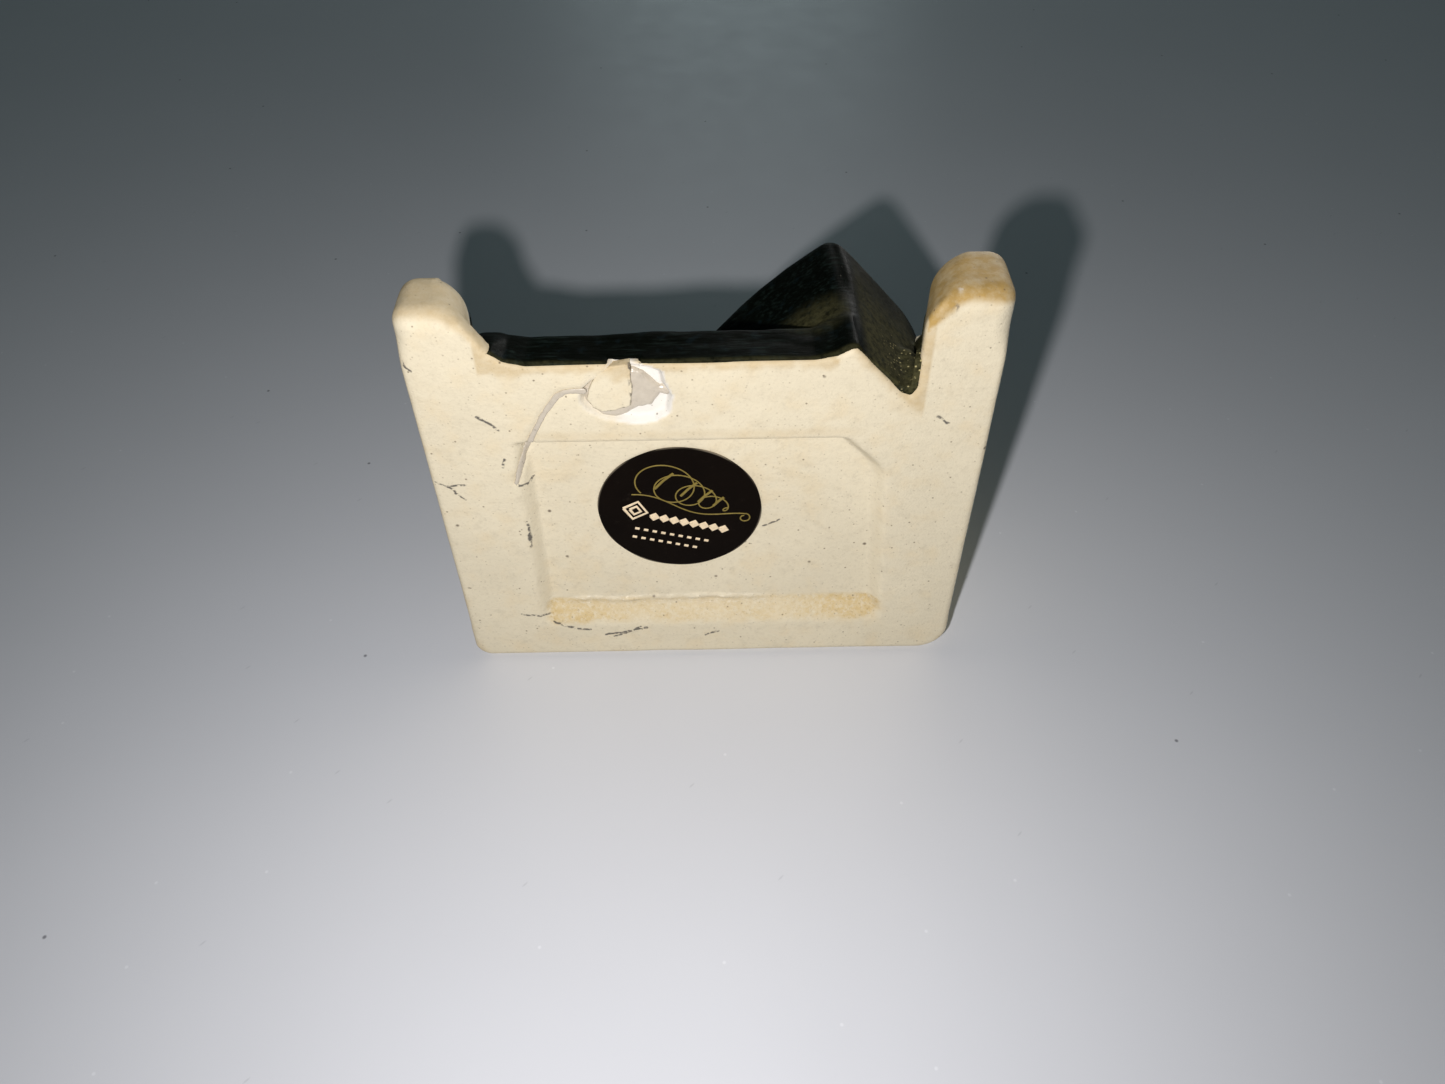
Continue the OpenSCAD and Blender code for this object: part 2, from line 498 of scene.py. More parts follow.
class Finish:
    """A principled material with short calls for its nodes."""

    def __init__(self, name, roughness=0.6, specular=0.4):
        self.material = bpy.data.materials.new(name)
        self.material.use_nodes = True
        self.tree = self.material.node_tree
        self.bsdf = self.tree.nodes["Principled BSDF"]
        self.bsdf.inputs["Roughness"].default_value = roughness
        self.bsdf.inputs["Specular IOR Level"].default_value = specular
        self.place = self.node("ShaderNodeTexCoord").outputs["Object"]

    def node(self, kind, **values):
        made = self.tree.nodes.new(kind)
        for key, value in values.items():
            setattr(made, key, value)
        return made

    def plug(self, socket, value):
        if isinstance(value, bpy.types.NodeSocket):
            self.tree.links.new(value, socket)
        elif isinstance(value, (tuple, list)) or hasattr(value, "__len__"):
            filled = list(value)
            socket.default_value = filled + [1.0] * (len(socket.default_value) - len(filled))
        else:
            socket.default_value = value

    def mask(self, name):
        return self.node("ShaderNodeAttribute", attribute_name=name).outputs["Fac"]

    def math(self, operation, a, b=0.0, clamp=False):
        made = self.node("ShaderNodeMath", operation=operation, use_clamp=clamp)
        self.plug(made.inputs[0], a)
        self.plug(made.inputs[1], b)
        return made.outputs[0]

    def times(self, a, b):
        return self.math("MULTIPLY", a, b)

    def plus(self, a, b, clamp=False):
        return self.math("ADD", a, b, clamp)

    def stretch(self, scale):
        made = self.node("ShaderNodeMapping")
        self.plug(made.inputs["Vector"], self.place)
        made.inputs["Scale"].default_value = scale
        return made.outputs[0]

    def noise(self, size, detail=3.0, rough=0.55, scale=None):
        """Noise with features of about size metres."""
        made = self.node("ShaderNodeTexNoise")
        self.plug(made.inputs["Vector"], self.stretch(scale) if scale else self.place)
        made.inputs["Scale"].default_value = 1 / size
        made.inputs["Detail"].default_value = detail
        made.inputs["Roughness"].default_value = rough
        return made.outputs["Fac"]

    def patches(self, size, detail, rough, low, high):
        """Noise of about size metres, turned into soft patches from 0 to 1."""
        return self.band(self.noise(size, detail, rough), low, high)

    def specks(self, spacing, width, share, flat=None):
        """Small round specks of about width metres: 1 in a speck, and 0 between them."""
        cells = self.node("ShaderNodeTexVoronoi", feature="F1")
        cells.voronoi_dimensions = "2D" if flat else "3D"
        self.plug(cells.inputs["Vector"], flat or self.place)
        cells.inputs["Scale"].default_value = 1 / spacing
        near = self.band(cells.outputs["Distance"], width / spacing, 0.3 * width / spacing)
        part = self.node("ShaderNodeSeparateColor")
        self.plug(part.inputs[0], cells.outputs["Color"])
        chosen = self.math("LESS_THAN", part.outputs[0], share)
        return self.times(near, chosen)

    def band(self, value, low, high):
        """Maps low..high to 0..1, clamped. low above high turns it round."""
        made = self.node("ShaderNodeMapRange", interpolation_type="SMOOTHSTEP")
        self.plug(made.inputs["Value"], value)
        made.inputs["From Min"].default_value = low
        made.inputs["From Max"].default_value = high
        return made.outputs[0]

    def mix(self, factor, a, b, blend="MIX"):
        made = self.node("ShaderNodeMix", data_type="RGBA", blend_type=blend)
        self.plug(made.inputs[0], factor)
        self.plug(made.inputs[6], a)
        self.plug(made.inputs[7], b)
        return made.outputs[2]

    def colour(self, value):
        self.plug(self.bsdf.inputs["Base Color"], value)

    def roughness(self, value):
        self.plug(self.bsdf.inputs["Roughness"], value)

    def bump(self, height, distance, strength=1.0, under=None):
        made = self.node("ShaderNodeBump")
        made.inputs["Strength"].default_value = strength
        made.inputs["Distance"].default_value = distance
        self.plug(made.inputs["Height"], height)
        if under is not None:
            self.plug(made.inputs["Normal"], under)
        self.plug(self.bsdf.inputs["Normal"], made.outputs[0])
        return made.outputs[0]


# Pencil and shelf scuffs on the underside, each an open line of x, d points.
SCUFFS = [
    [(-40.0, 41.9), (-38.4, 40.9), (-36.0, 41.2)],
    [(-38.4, 41.0), (-37.4, 39.5), (-36.3, 38.4)],
    [(-40.3, 63.8), (-39.3, 62.5)],
    [(-32.4, 54.5), (-30.3, 52.9), (-29.2, 51.8)],
    [(-26.4, 8.8), (-24.0, 7.7), (-20.5, 6.9)],
    [(-31.5, 11.2), (-28.6, 10.6), (-27.0, 10.4)],
    [(-18.0, 5.4), (-15.0, 6.0), (-10.8, 7.2)],
    [(-16.5, 5.0), (-13.6, 6.2), (-12.0, 7.3)],
    [(-29.8, 44.6), (-29.2, 46.0)],
    [(-28.0, 40.8), (-26.6, 40.2), (-25.9, 41.2)],
    [(-27.8, 33.0), (-27.9, 27.5)],
    [(8.8, 29.5), (11.2, 30.8)],
    [(32.8, 53.0), (34.6, 51.4)],
    [(-1.0, 4.8), (1.4, 6.0)],
]


def scuff_mask(finish):
    """Thin broken dark lines along the scuffs, on the underside only."""
    split = finish.node("ShaderNodeSeparateXYZ")
    wobble = finish.node("ShaderNodeTexNoise")
    finish.plug(wobble.inputs["Vector"], finish.place)
    wobble.inputs["Scale"].default_value = 1 / (1.6 * MM)
    shift = finish.node("ShaderNodeVectorMath", operation="MULTIPLY_ADD")
    finish.plug(shift.inputs[0], wobble.outputs["Color"])
    shift.inputs[1].default_value = (0.9 * MM, 0.9 * MM, 0)
    finish.plug(shift.inputs[2], finish.place)
    flat = finish.node("ShaderNodeVectorMath", operation="MULTIPLY")
    finish.plug(flat.inputs[0], shift.outputs[0])
    flat.inputs[1].default_value = (1, 1, 0)
    finish.plug(split.inputs[0], finish.place)
    nearest = None
    for line in SCUFFS:
        for (ax, ad), (bx, bd) in zip(line, line[1:]):
            a = Vector((ax + 0.45, BACK_Y - ad + 0.45, 0)) * MM
            b = Vector((bx + 0.45, BACK_Y - bd + 0.45, 0)) * MM
            along = b - a
            rel = finish.node("ShaderNodeVectorMath", operation="SUBTRACT")
            finish.plug(rel.inputs[0], flat.outputs[0])
            rel.inputs[1].default_value = a
            dot = finish.node("ShaderNodeVectorMath", operation="DOT_PRODUCT")
            finish.plug(dot.inputs[0], rel.outputs[0])
            dot.inputs[1].default_value = along / along.length_squared
            t = finish.math("MULTIPLY", dot.outputs["Value"], 1.0, clamp=True)
            foot = finish.node("ShaderNodeVectorMath", operation="SCALE")
            foot.inputs[0].default_value = along
            finish.plug(foot.inputs["Scale"], t)
            gap = finish.node("ShaderNodeVectorMath", operation="DISTANCE")
            finish.plug(gap.inputs[0], rel.outputs[0])
            finish.plug(gap.inputs[1], foot.outputs[0])
            value = gap.outputs["Value"]
            nearest = value if nearest is None else finish.math("MINIMUM", nearest, value)
    line = finish.band(nearest, 0.30 * MM, 0.08 * MM)
    broken = finish.patches(0.8 * MM, 2, 0.55, 0.36, 0.54)
    under = finish.band(split.outputs[2], 2.5 * MM, 2.2 * MM)
    return finish.times(finish.times(line, broken), under)


def scaled(colour, k):
    """A colour made darker or lighter, at most white."""
    return tuple(min(1, c * k) for c in colour)


def bisque_finish(name, scuffed):
    """Unglazed cream casting, with the stain and painted shade, plaster and gloss masks of its mesh."""
    own = settings().sofa
    finish = Finish(name, 0.72, 0.3)
    cream = tuple(own.cream)
    tan = tuple(own.tan)
    tone = finish.mix(finish.noise(14 * MM, 4), scaled(cream, 0.90), scaled(cream, 1.08))
    warm = finish.times(finish.patches(5 * MM, 3, 0.55, 0.45, 0.75), 0.45)
    tone = finish.mix(warm, tone, (cream[0] * 0.98, cream[1] * 0.90, cream[2] * 0.78))
    grain = finish.noise(0.55 * MM, 4, 0.7)
    tone = finish.mix(finish.times(finish.band(grain, 0.50, 0.74), 0.30), tone, (0.40, 0.34, 0.24))
    soiled = finish.times(finish.patches(2.4 * MM, 5, 0.7, 0.50, 0.76), 0.30)
    tone = finish.mix(soiled, tone, (0.42, 0.36, 0.25))
    blotch = finish.math("SUBTRACT", finish.noise(1.5 * MM, 4, 0.65), 0.5)
    # Tan stain mask, which also carries painted shade along the recess rim and in the cushion crease.
    stain_and_shade = finish.mask("stain_and_shade")
    stain_and_shade = finish.plus(stain_and_shade, finish.times(blotch, finish.times(stain_and_shade, 1.3)), clamp=True)
    tone = finish.mix(stain_and_shade, tone, finish.mix(finish.noise(2.2 * MM, 3), tan, scaled(tan, 1.7)))
    rust = finish.mask("rust")
    mottled = finish.times(rust, finish.patches(0.9 * MM, 5, 0.75, 0.22, 0.66))
    tone = finish.mix(mottled, tone, (0.56, 0.415, 0.19))
    crusted = finish.times(rust, finish.patches(0.5 * MM, 3, 0.7, 0.55, 0.70))
    tone = finish.mix(finish.times(crusted, 0.6), tone, (0.36, 0.235, 0.10))
    tone = finish.mix(finish.mask("plaster"), tone, tuple(own.plaster))
    for spacing, width, share, strength, dark in (
        (1.1, 0.17, 0.9, 0.42, (0.20, 0.15, 0.09)),
        (2.0, 0.22, 0.7, 0.70, (0.10, 0.065, 0.035)),
        (5.0, 0.42, 0.45, 0.80, (0.055, 0.032, 0.018)),
    ):
        specks = finish.specks(spacing * MM, width * MM, share)
        tone = finish.mix(finish.times(specks, strength), tone, dark)
    soot = finish.times(finish.mask("soot"), finish.patches(0.7 * MM, 3, 0.55, 0.38, 0.62))
    tone = finish.mix(soot, tone, (0.07, 0.06, 0.05))
    if scuffed:
        tone = finish.mix(finish.times(scuff_mask(finish), 0.86), tone, (0.035, 0.033, 0.035))
    finish.colour(tone)
    finish.roughness(finish.plus(0.62, finish.times(grain, 0.22)))
    finish.plug(finish.bsdf.inputs["Coat Weight"], finish.mask("gloss"))
    finish.bsdf.inputs["Coat Roughness"].default_value = 0.20
    glaze = finish.bump(finish.noise(0.8 * MM, 3, 0.6), 0.60 * MM, 1.0)
    finish.plug(finish.bsdf.inputs["Coat Normal"], glaze)
    lumpy = finish.bump(finish.noise(2.6 * MM, 4, 0.6), 0.35 * MM, 0.45)
    holes = finish.times(finish.specks(1.6 * MM, 0.15 * MM, 0.35), 0.8)
    pores = finish.math("SUBTRACT", finish.noise(0.32 * MM, 3, 0.7), holes)
    finish.bump(pores, 0.10 * MM, 0.55, under=lumpy)
    return finish.material


def paint_finish():
    """Brushed matt black paint with green grey brush streaks that are partly drag and partly painted
    sheen, olive dust with a painted light patch, and rubbed flecks.
    """
    own = settings().cat
    finish = Finish("brushed_black_paint", 0.55, 0.014)
    drag = finish.noise(0.55 * MM, 4, 0.65, scale=(0.16, 1.0, 1.0))
    wide = finish.noise(3.5 * MM, 3, 0.6, scale=(0.5, 1.0, 1.0))
    # Lighter brush streaks, partly the paint's own drag and partly painted sheen.
    sheen_streak = finish.times(finish.band(drag, 0.47, 0.72), finish.band(wide, 0.30, 0.68))
    tone = finish.mix(sheen_streak, tuple(own.black), tuple(own.sheen))
    blue = finish.times(finish.patches(2.0 * MM, 3, 0.55, 0.55, 0.75), 0.5)
    tone = finish.mix(blue, tone, (0.006, 0.012, 0.014))
    # The dust mask also carries a painted light patch at the foot of the ridge.
    dust_and_light = finish.mask("dust_and_light")
    haze = finish.times(dust_and_light, finish.patches(1.1 * MM, 5, 0.75, 0.22, 0.66))
    tone = finish.mix(haze, tone, tuple(own.dust_and_light))
    crumbs = finish.times(finish.mask("crumbs"), finish.specks(0.55 * MM, 0.20 * MM, 0.5))
    tone = finish.mix(crumbs, tone, (0.42, 0.36, 0.17))
    rub = finish.mask("rub")
    flecks = finish.times(rub, finish.patches(0.45 * MM, 4, 0.8, 0.64, 0.72))
    tone = finish.mix(flecks, tone, (0.50, 0.47, 0.38))
    stray = finish.specks(3.4 * MM, 0.13 * MM, 0.22)
    finish.colour(finish.mix(finish.times(stray, 0.7), tone, (0.28, 0.28, 0.22)))
    rough = finish.plus(0.42, finish.times(finish.noise(0.9 * MM, 3), 0.26))
    rough = finish.plus(rough, finish.times(dust_and_light, 0.25))
    finish.roughness(finish.plus(rough, finish.times(rub, 0.45), clamp=True))
    low = finish.bump(wide, 0.22 * MM, 0.5)
    finish.bump(drag, 0.13 * MM, 0.7, under=low)
    return finish.material


def enamel_finish(name, base, slit=False, pale=None):
    """Glossy enamel dot, with an optional dark slit and a pale rim from the mesh's masks."""
    finish = Finish(name, 0.12, 0.5)
    ring = finish.noise(0.5 * MM, 3)
    tone = finish.mix(ring, scaled(base, 0.7), scaled(base, 1.25))
    if pale:
        tone = finish.mix(finish.mask("rim"), tone, pale)
    if slit:
        tone = finish.mix(finish.mask("slit"), tone, (0.004, 0.004, 0.004))
    finish.colour(tone)
    finish.bsdf.inputs["Coat Weight"].default_value = 0.6
    finish.bsdf.inputs["Coat Roughness"].default_value = 0.06
    finish.bump(finish.noise(0.4 * MM, 2), 0.03 * MM, 0.4)
    return finish.material


def glue_finish():
    """Hardened clear glue over plaster dust."""
    finish = Finish("hardened_glue", 0.28, 0.5)
    cloud = finish.noise(1.2 * MM, 4, 0.6)
    tone = finish.mix(cloud, (0.40, 0.345, 0.265), (0.56, 0.50, 0.395))
    dirt = finish.times(finish.specks(0.9 * MM, 0.12 * MM, 0.25), 0.8)
    finish.colour(finish.mix(dirt, tone, (0.10, 0.08, 0.06)))
    finish.roughness(finish.plus(0.16, finish.times(cloud, 0.30)))
    finish.bsdf.inputs["Coat Weight"].default_value = 0.5
    finish.bsdf.inputs["Coat Roughness"].default_value = 0.12
    finish.bump(finish.noise(0.7 * MM, 3), 0.15 * MM, 0.7)
    return finish.material


def label_finish():
    """Coated black paper, scuffed grey in places and bare at its edge."""
    own = settings().label
    finish = Finish("label_paper", 0.5, 0.03)
    black = tuple(own.black)
    tone = finish.mix(finish.noise(6 * MM, 3), scaled(black, 0.7), scaled(black, 1.5))
    rubbed = finish.times(finish.patches(1.6 * MM, 5, 0.7, 0.58, 0.80), 0.30)
    tone = finish.mix(rubbed, tone, (0.035, 0.027, 0.020))
    tone = finish.mix(finish.times(finish.mask("edge"), 0.8), tone, (0.50, 0.42, 0.30))
    finish.colour(tone)
    finish.roughness(finish.plus(0.28, finish.times(finish.noise(1.5 * MM, 3), 0.25)))
    finish.bump(finish.noise(0.35 * MM, 3), 0.02 * MM, 0.5)
    return finish.material


def ink_finish(name, tone, metallic):
    """Printed ink that has worn unevenly."""
    finish = Finish(name, 0.4, 0.5)
    finish.bsdf.inputs["Metallic"].default_value = metallic
    worn = finish.noise(0.8 * MM, 4, 0.7)
    finish.colour(finish.mix(worn, scaled(tone, 0.62), scaled(tone, 1.25)))
    finish.roughness(finish.plus(0.30, finish.times(finish.noise(0.6 * MM, 2), 0.25)))
    finish.bump(finish.noise(0.25 * MM, 2), 0.01 * MM, 0.5)
    return finish.material


def surface_finish():
    """Pale laminate that everything stands on, seen from its front only."""
    own = settings().stage
    finish = Finish("pale_surface", 0.42, 0.35)
    pale = tuple(own.floor)
    tone = finish.mix(finish.noise(90 * MM, 3), scaled(pale, 0.95), scaled(pale, 1.04))
    split = finish.node("ShaderNodeSeparateXYZ")
    finish.plug(split.inputs[0], finish.place)
    across = split.outputs[0]
    rise = finish.plus(split.outputs[1], split.outputs[2])
    flat = finish.node("ShaderNodeCombineXYZ")
    finish.plug(flat.inputs[0], across)
    finish.plug(flat.inputs[1], rise)
    slant = finish.node("ShaderNodeCombineXYZ")
    finish.plug(slant.inputs[0], finish.plus(across, rise))
    finish.plug(slant.inputs[1], finish.times(finish.math("SUBTRACT", rise, across), 4.0))
    for plane, spacing, width, share, strength, mark in (
        (flat, 36, 0.42, 0.35, 0.75, (0.10, 0.10, 0.11)),
        (slant, 48, 1.1, 0.30, 0.30, (0.33, 0.34, 0.36)),
        (flat, 14, 0.35, 0.25, 0.35, (0.85, 0.86, 0.88)),
    ):
        specks = finish.specks(spacing * MM, width * MM, share, plane.outputs[0])
        tone = finish.mix(finish.times(specks, strength), tone, mark)
    finish.colour(tone)
    finish.roughness(finish.plus(0.40, finish.times(finish.noise(12 * MM, 3), 0.15)))
    finish.bump(finish.noise(3 * MM, 3), 0.05 * MM, 0.25)
    out = finish.tree.nodes["Material Output"]
    clear = finish.node("ShaderNodeBsdfTransparent")
    side = finish.node("ShaderNodeNewGeometry")
    choose = finish.node("ShaderNodeMixShader")
    finish.plug(choose.inputs[0], side.outputs["Backfacing"])
    finish.plug(choose.inputs[1], finish.bsdf.outputs[0])
    finish.plug(choose.inputs[2], clear.outputs[0])
    finish.plug(out.inputs["Surface"], choose.outputs[0])
    return finish.material


# ---------------------------------------------------------------- sofa shape

# The front edge of the base, with the fillet by the left arm and the pointed notch by the right one.
FOOTPRINT = [
    (-INNER_X - 1, 4), (INNER_X + 1, 4), (INNER_X + 1, 58), (29.1, 57.6), (28.4, 57.0),
    (27.4, 57.4), (26.1, 58.6), (23.0, 61.9), (21.1, 64.1), (20.4, 64.8), (19.6, 64.5),
    (18.0, 63.5), (15.0, 62.9), (0.0, 62.9), (-14.0, 62.8), (-24.0, 62.7), (-27.0, 63.4),
    (-28.5, 64.8), (-29.4, 66.3), (-30.4, 67.6), (-INNER_X - 1, 68.4),
]

# The broken crater at the front edge, the glue in it and the fragment put back, as x, d outlines.
CRATER = [
    (-13.6, 61.2), (-15.6, 60.2), (-17.4, 58.4), (-17.4, 56.4), (-16.4, 54.8), (-14.4, 53.5),
    (-12.0, 52.8), (-9.5, 52.4), (-7.0, 52.8), (-4.9, 54.2), (-4.3, 57.2), (-5.2, 59.4),
    (-5.6, 61.6), (-7.6, 62.5), (-9.6, 62.8), (-10.2, 63.9), (-12.4, 63.7), (-13.2, 62.3),
]
GLUE = [
    (-16.6, 58.6), (-16.6, 56.5), (-15.6, 54.8), (-14.5, 53.8), (-12.6, 53.4), (-10.9, 53.8),
    (-9.2, 55.0), (-7.5, 55.2), (-6.2, 57.2), (-5.1, 57.0), (-4.5, 57.8), (-5.2, 58.7),
    (-6.2, 58.6), (-7.2, 59.7), (-8.3, 61.0), (-9.7, 61.7), (-14.6, 60.6),
]
FRAGMENT = [
    (-14.4, 61.4), (-15.9, 58.6), (-16.2, 57.0), (-15.6, 55.5), (-14.4, 54.8), (-12.5, 54.9),
    (-10.3, 55.7), (-9.9, 59.0), (-10.0, 62.9), (-12.6, 62.5),
]
THREAD = [
    (-16.6, 58.4), (-17.6, 58.4), (-19.3, 58.3), (-20.4, 57.6), (-21.4, 56.1), (-23.0, 53.8),
    (-25.0, 49.7), (-26.7, 45.8), (-28.2, 41.4),
]


def underside(x, d):
    """Height of the casting's lower surface: the recess, and the groove under the glue run."""
    depth = settings().sofa.recess_depth / MM
    left = (x + 28.9 + 0.02 * (43 - d)) / 3.4
    right = (28.9 - 0.07 * (d - 15) - x) / 3.0
    back = (d - 7.6) / 5.6
    front = (49.9 - d) / 1.5
    front = np.maximum(front, 0) ** 2.2 + np.minimum(front, 0)
    corner = ((24.8 - x) * 0.72 + (42.4 - d) * 0.69 + 2.0) / 2.2
    left = np.maximum(left, 0) ** 1.5 + np.minimum(left, 0)
    sides = melt(left, right, 0.3)
    nearest = melt(melt(sides, back, 0.4), melt(front, corner, 0.6), 0.5)
    eased = smooth(nearest)
    groove = 0.30 * smooth(1.25 - stroke_gap(x, d, THREAD) / 0.70)
    waver = 0.35 * lumps(x, 0 * d, 0 * x, 5.0, 61)
    strength = smooth((x + 25) / 4) * smooth((12 - x) / 8) * (0.6 + 0.4 * lumps(x, d, 0 * x, 1.1, 62))
    bead = 0.58 * strength * np.exp(-((d - 12.9 + waver) / 0.38) ** 2)
    return depth * eased + groove - bead


def sweep_line(front_d, nose_z, edge):
    """Side profile of an arm, without its rounded edge: a low nose that sweeps up to the roll."""
    bend = ARM_HALF - edge
    top = nose_z + bend
    roll = ARM_TOP_Z - edge
    line = [(edge, -12), (front_d - edge, -12)]
    for i in range(6):
        a = math.pi / 2 * i / 5
        line.append((front_d - ARM_HALF + bend * math.cos(a), nose_z + bend * math.sin(a)))
    foot = 60.5
    head = 40.5
    for i in range(13):
        t = i / 12
        ease = t * t * (3 - 2 * t)
        line.append((foot + (head - foot) * t, top + (roll - top) * ease))
    line.append((edge, roll))
    return line


def arm_shape(x, d, z, side, front_d, nose_z):
    """One arm. Its inner side leans out as it rises, and draws in towards the nose."""
    core = 2.6
    profile = outline_gap(d, z, sweep_line(front_d, nose_z, core)) - core
    out = side * x - ARM_X
    foot_x, lean, draw = {-1: (30.1, 0.24, 1.0), 1: (28.9, 0.23, 1.5)}[side]
    inner = ARM_X - foot_x - lean * np.clip(z, 0, 11) - draw * smooth((d - front_d + 6) / 6)
    across = np.maximum(out - ARM_HALF, -out - inner)
    edge = np.where(out < 0, 3.6, 2.6)
    a = across + edge
    b = profile + edge
    return np.minimum(np.maximum(a, b), 0) + np.hypot(np.maximum(a, 0), np.maximum(b, 0)) - edge


def left_arm(x, d, z):
    return arm_shape(x, d, z, -1, ARM_LEFT_D, 7.3)


def right_arm(x, d, z):
    return arm_shape(x, d, z, 1, ARM_RIGHT_D, 8.4)


def backrest_shape(x, d, z):
    edge = 3.2
    rise = BACK_H - 5 * (x / HALF_W) ** 2 - 5 * np.abs(x / HALF_W) ** 12
    flat = round_cut(np.abs(x) - HALF_W, (z - rise) * 0.96, 6.0)
    across = np.abs(d - BACK_T / 2) - BACK_T / 2
    return slab(across, flat, edge)


def shell_shape(x, d, z):
    """The cream casting: base, arms and back run together."""
    plan = outline_gap(x, d, FOOTPRINT)
    lip = np.maximum(plan, z - 2.4)
    deck = np.maximum(np.maximum(plan, d - 56.2), z - DECK_H)
    base = np.minimum(lip, deck)
    solid = round_join(base, left_arm(x, d, z), 1.2)
    solid = round_join(solid, right_arm(x, d, z), 0.6)
    solid = round_join(solid, backrest_shape(x, d, z), 1.6)
    turn = np.where(x < 0, 3.2, 5.2)
    block = round_cut(np.abs(x) - HALF_W, -d, turn)
    solid = round_cut(solid, block, 0.6)
    solid = solid + 0.10 * lumps(x, d, z, 9.0, 1) + 0.04 * lumps(x, d, z, 3.0, 2) + 0.06
    limit = np.maximum(np.maximum(np.abs(x) - HALF_W, -d), d - ARM_RIGHT_D) + 0.04
    solid = np.maximum(solid, limit)
    under = underside(x, d) - z + 0.05
    crater = outline_gap(x, d, CRATER)
    under = np.maximum(under, np.minimum(1.3, -crater * 1.6) - z)
    front_lip = smooth((d - 57) / 3) * smooth((29.5 - np.abs(x)) / 2)
    nose = smooth((d - 62) / 6) * smooth((np.abs(x) - 31) / 2)
    edge = settings().sofa.edge_radius / MM
    return round_cut(solid, under, edge - (edge - 0.45) * front_lip + 1.7 * nose)


def cushion_shape(x, d, z):
    """Seat cushion with a crowned top and a raised bead round its edge."""
    middle = (BACK_T + CUSHION_D) / 2
    half_d = (CUSHION_D - BACK_T) / 2 - 0.2
    half_x = INNER_X - 0.3
    corner = 4.0
    qx = np.maximum(np.abs(x) - half_x + corner, 0)
    qd = np.maximum(np.abs(d - middle) - half_d + corner, 0)
    flat = np.hypot(qx, qd) - corner
    crown = 0.35 * smooth(-flat / 9)
    thick = (SEAT_Z - DECK_H) / 2 - 0.35
    across = np.abs(z - (SEAT_Z + DECK_H) / 2 + 0.35) - thick - crown * 0.9
    solid = slab(across, flat, 1.5)
    bead_z = SEAT_Z - 1.0
    bead = np.hypot(flat + 0.7, z - bead_z) - 0.65
    return melt(solid, bead, 0.35)


# ---------------------------------------------------------------- cat shape


def thigh_shape(x, d, z):
    """The bent hind leg: two flanks that meet in an upright ridge over the paw."""
    lean = 0.05 * np.maximum(z - 16, 0)
    fill = 1.5 * smooth((x - 27.3) / 2.5) * smooth((12.5 - z) / 4)
    right = 0.716 * (x + lean) + 0.698 * d - 60.0 - fill
    left = -0.555 * (x + lean) + 0.832 * d - 43.0
    top = z - (29.9 - 0.022 * (x - 19.5) ** 2) - 0.10 * np.maximum(58 - d, 0)
    side = x - 34.5
    rear = 30 - d
    solid = round_cut(right, left, 0.9 + 1.5 * smooth(z / 8))
    solid = round_cut(solid, top * 0.95, 3.2)
    solid = round_cut(solid, side, 4.0)
    return round_cut(solid, rear, 4.0)


def tail_shape(x, d, z):
    """The tail: a low strip that follows the front edge, with an upright face and a rounded top."""
    ripple = 0.09 * lumps(x * 0.4, d, z, 1.4, 5)
    face = np.maximum(outline_gap(x, d, FOOTPRINT) - 0.28 + ripple, d - 65.0)
    top = z - TAIL_TOP_Z - 0.018 * (x + 12) + 2.4 * np.maximum(d - 63.2, 0) * (x < 0)
    strip = round_cut(face, top, 1.7)
    rear = round_cut(54.5 - d, top, 1.7)
    ends = np.maximum(-INNER_X - 0.8 - x, x - 20.4)
    return np.maximum(np.maximum(strip, rear), ends)


def overpaint_shape(x, d, z):
    """Black paint that ran on to the inner sides of the two arms."""
    wander = 0.5 * lumps(x, d, z, 2.0, 6)
    corner = 0.40 * smooth((3.4 - z) / 1.0)
    right = np.maximum(right_arm(x, d, z) - 0.14 - corner, d - 62.6 + wander)
    right = np.maximum(right, np.maximum(z - 17, 26 - x))
    left = np.maximum(left_arm(x, d, z) - 0.14, d - 65.4 + wander)
    left = np.maximum(left, np.maximum(z - 9.5 + wander, 26 + x))
    return np.maximum(np.minimum(left, right), np.abs(x) - 33.0)


def toes(x, d, z, paw, spread):
    """Grooves between the toes of a forepaw."""
    groove = 9.0
    for step in (-1, 1):
        gx = x - paw[0] - step * spread
        behind = np.maximum(paw[1] - d, 0)
        groove = np.minimum(groove, np.sqrt(gx * gx + behind ** 2) - 0.28)
    return groove


def foreleg_shape(x, d, z, elbow, paw):
    leg = limb(x, d, z, elbow, paw, 4.5, 2.7)
    pad = blob(x, d, z, (paw[0], paw[1] + 0.6, paw[2] - 0.1), (3.5, 3.9, 2.9))
    leg = melt(leg, pad, 1.4)
    return np.maximum(leg, -toes(x, d - 2.2, z, paw, 1.15))


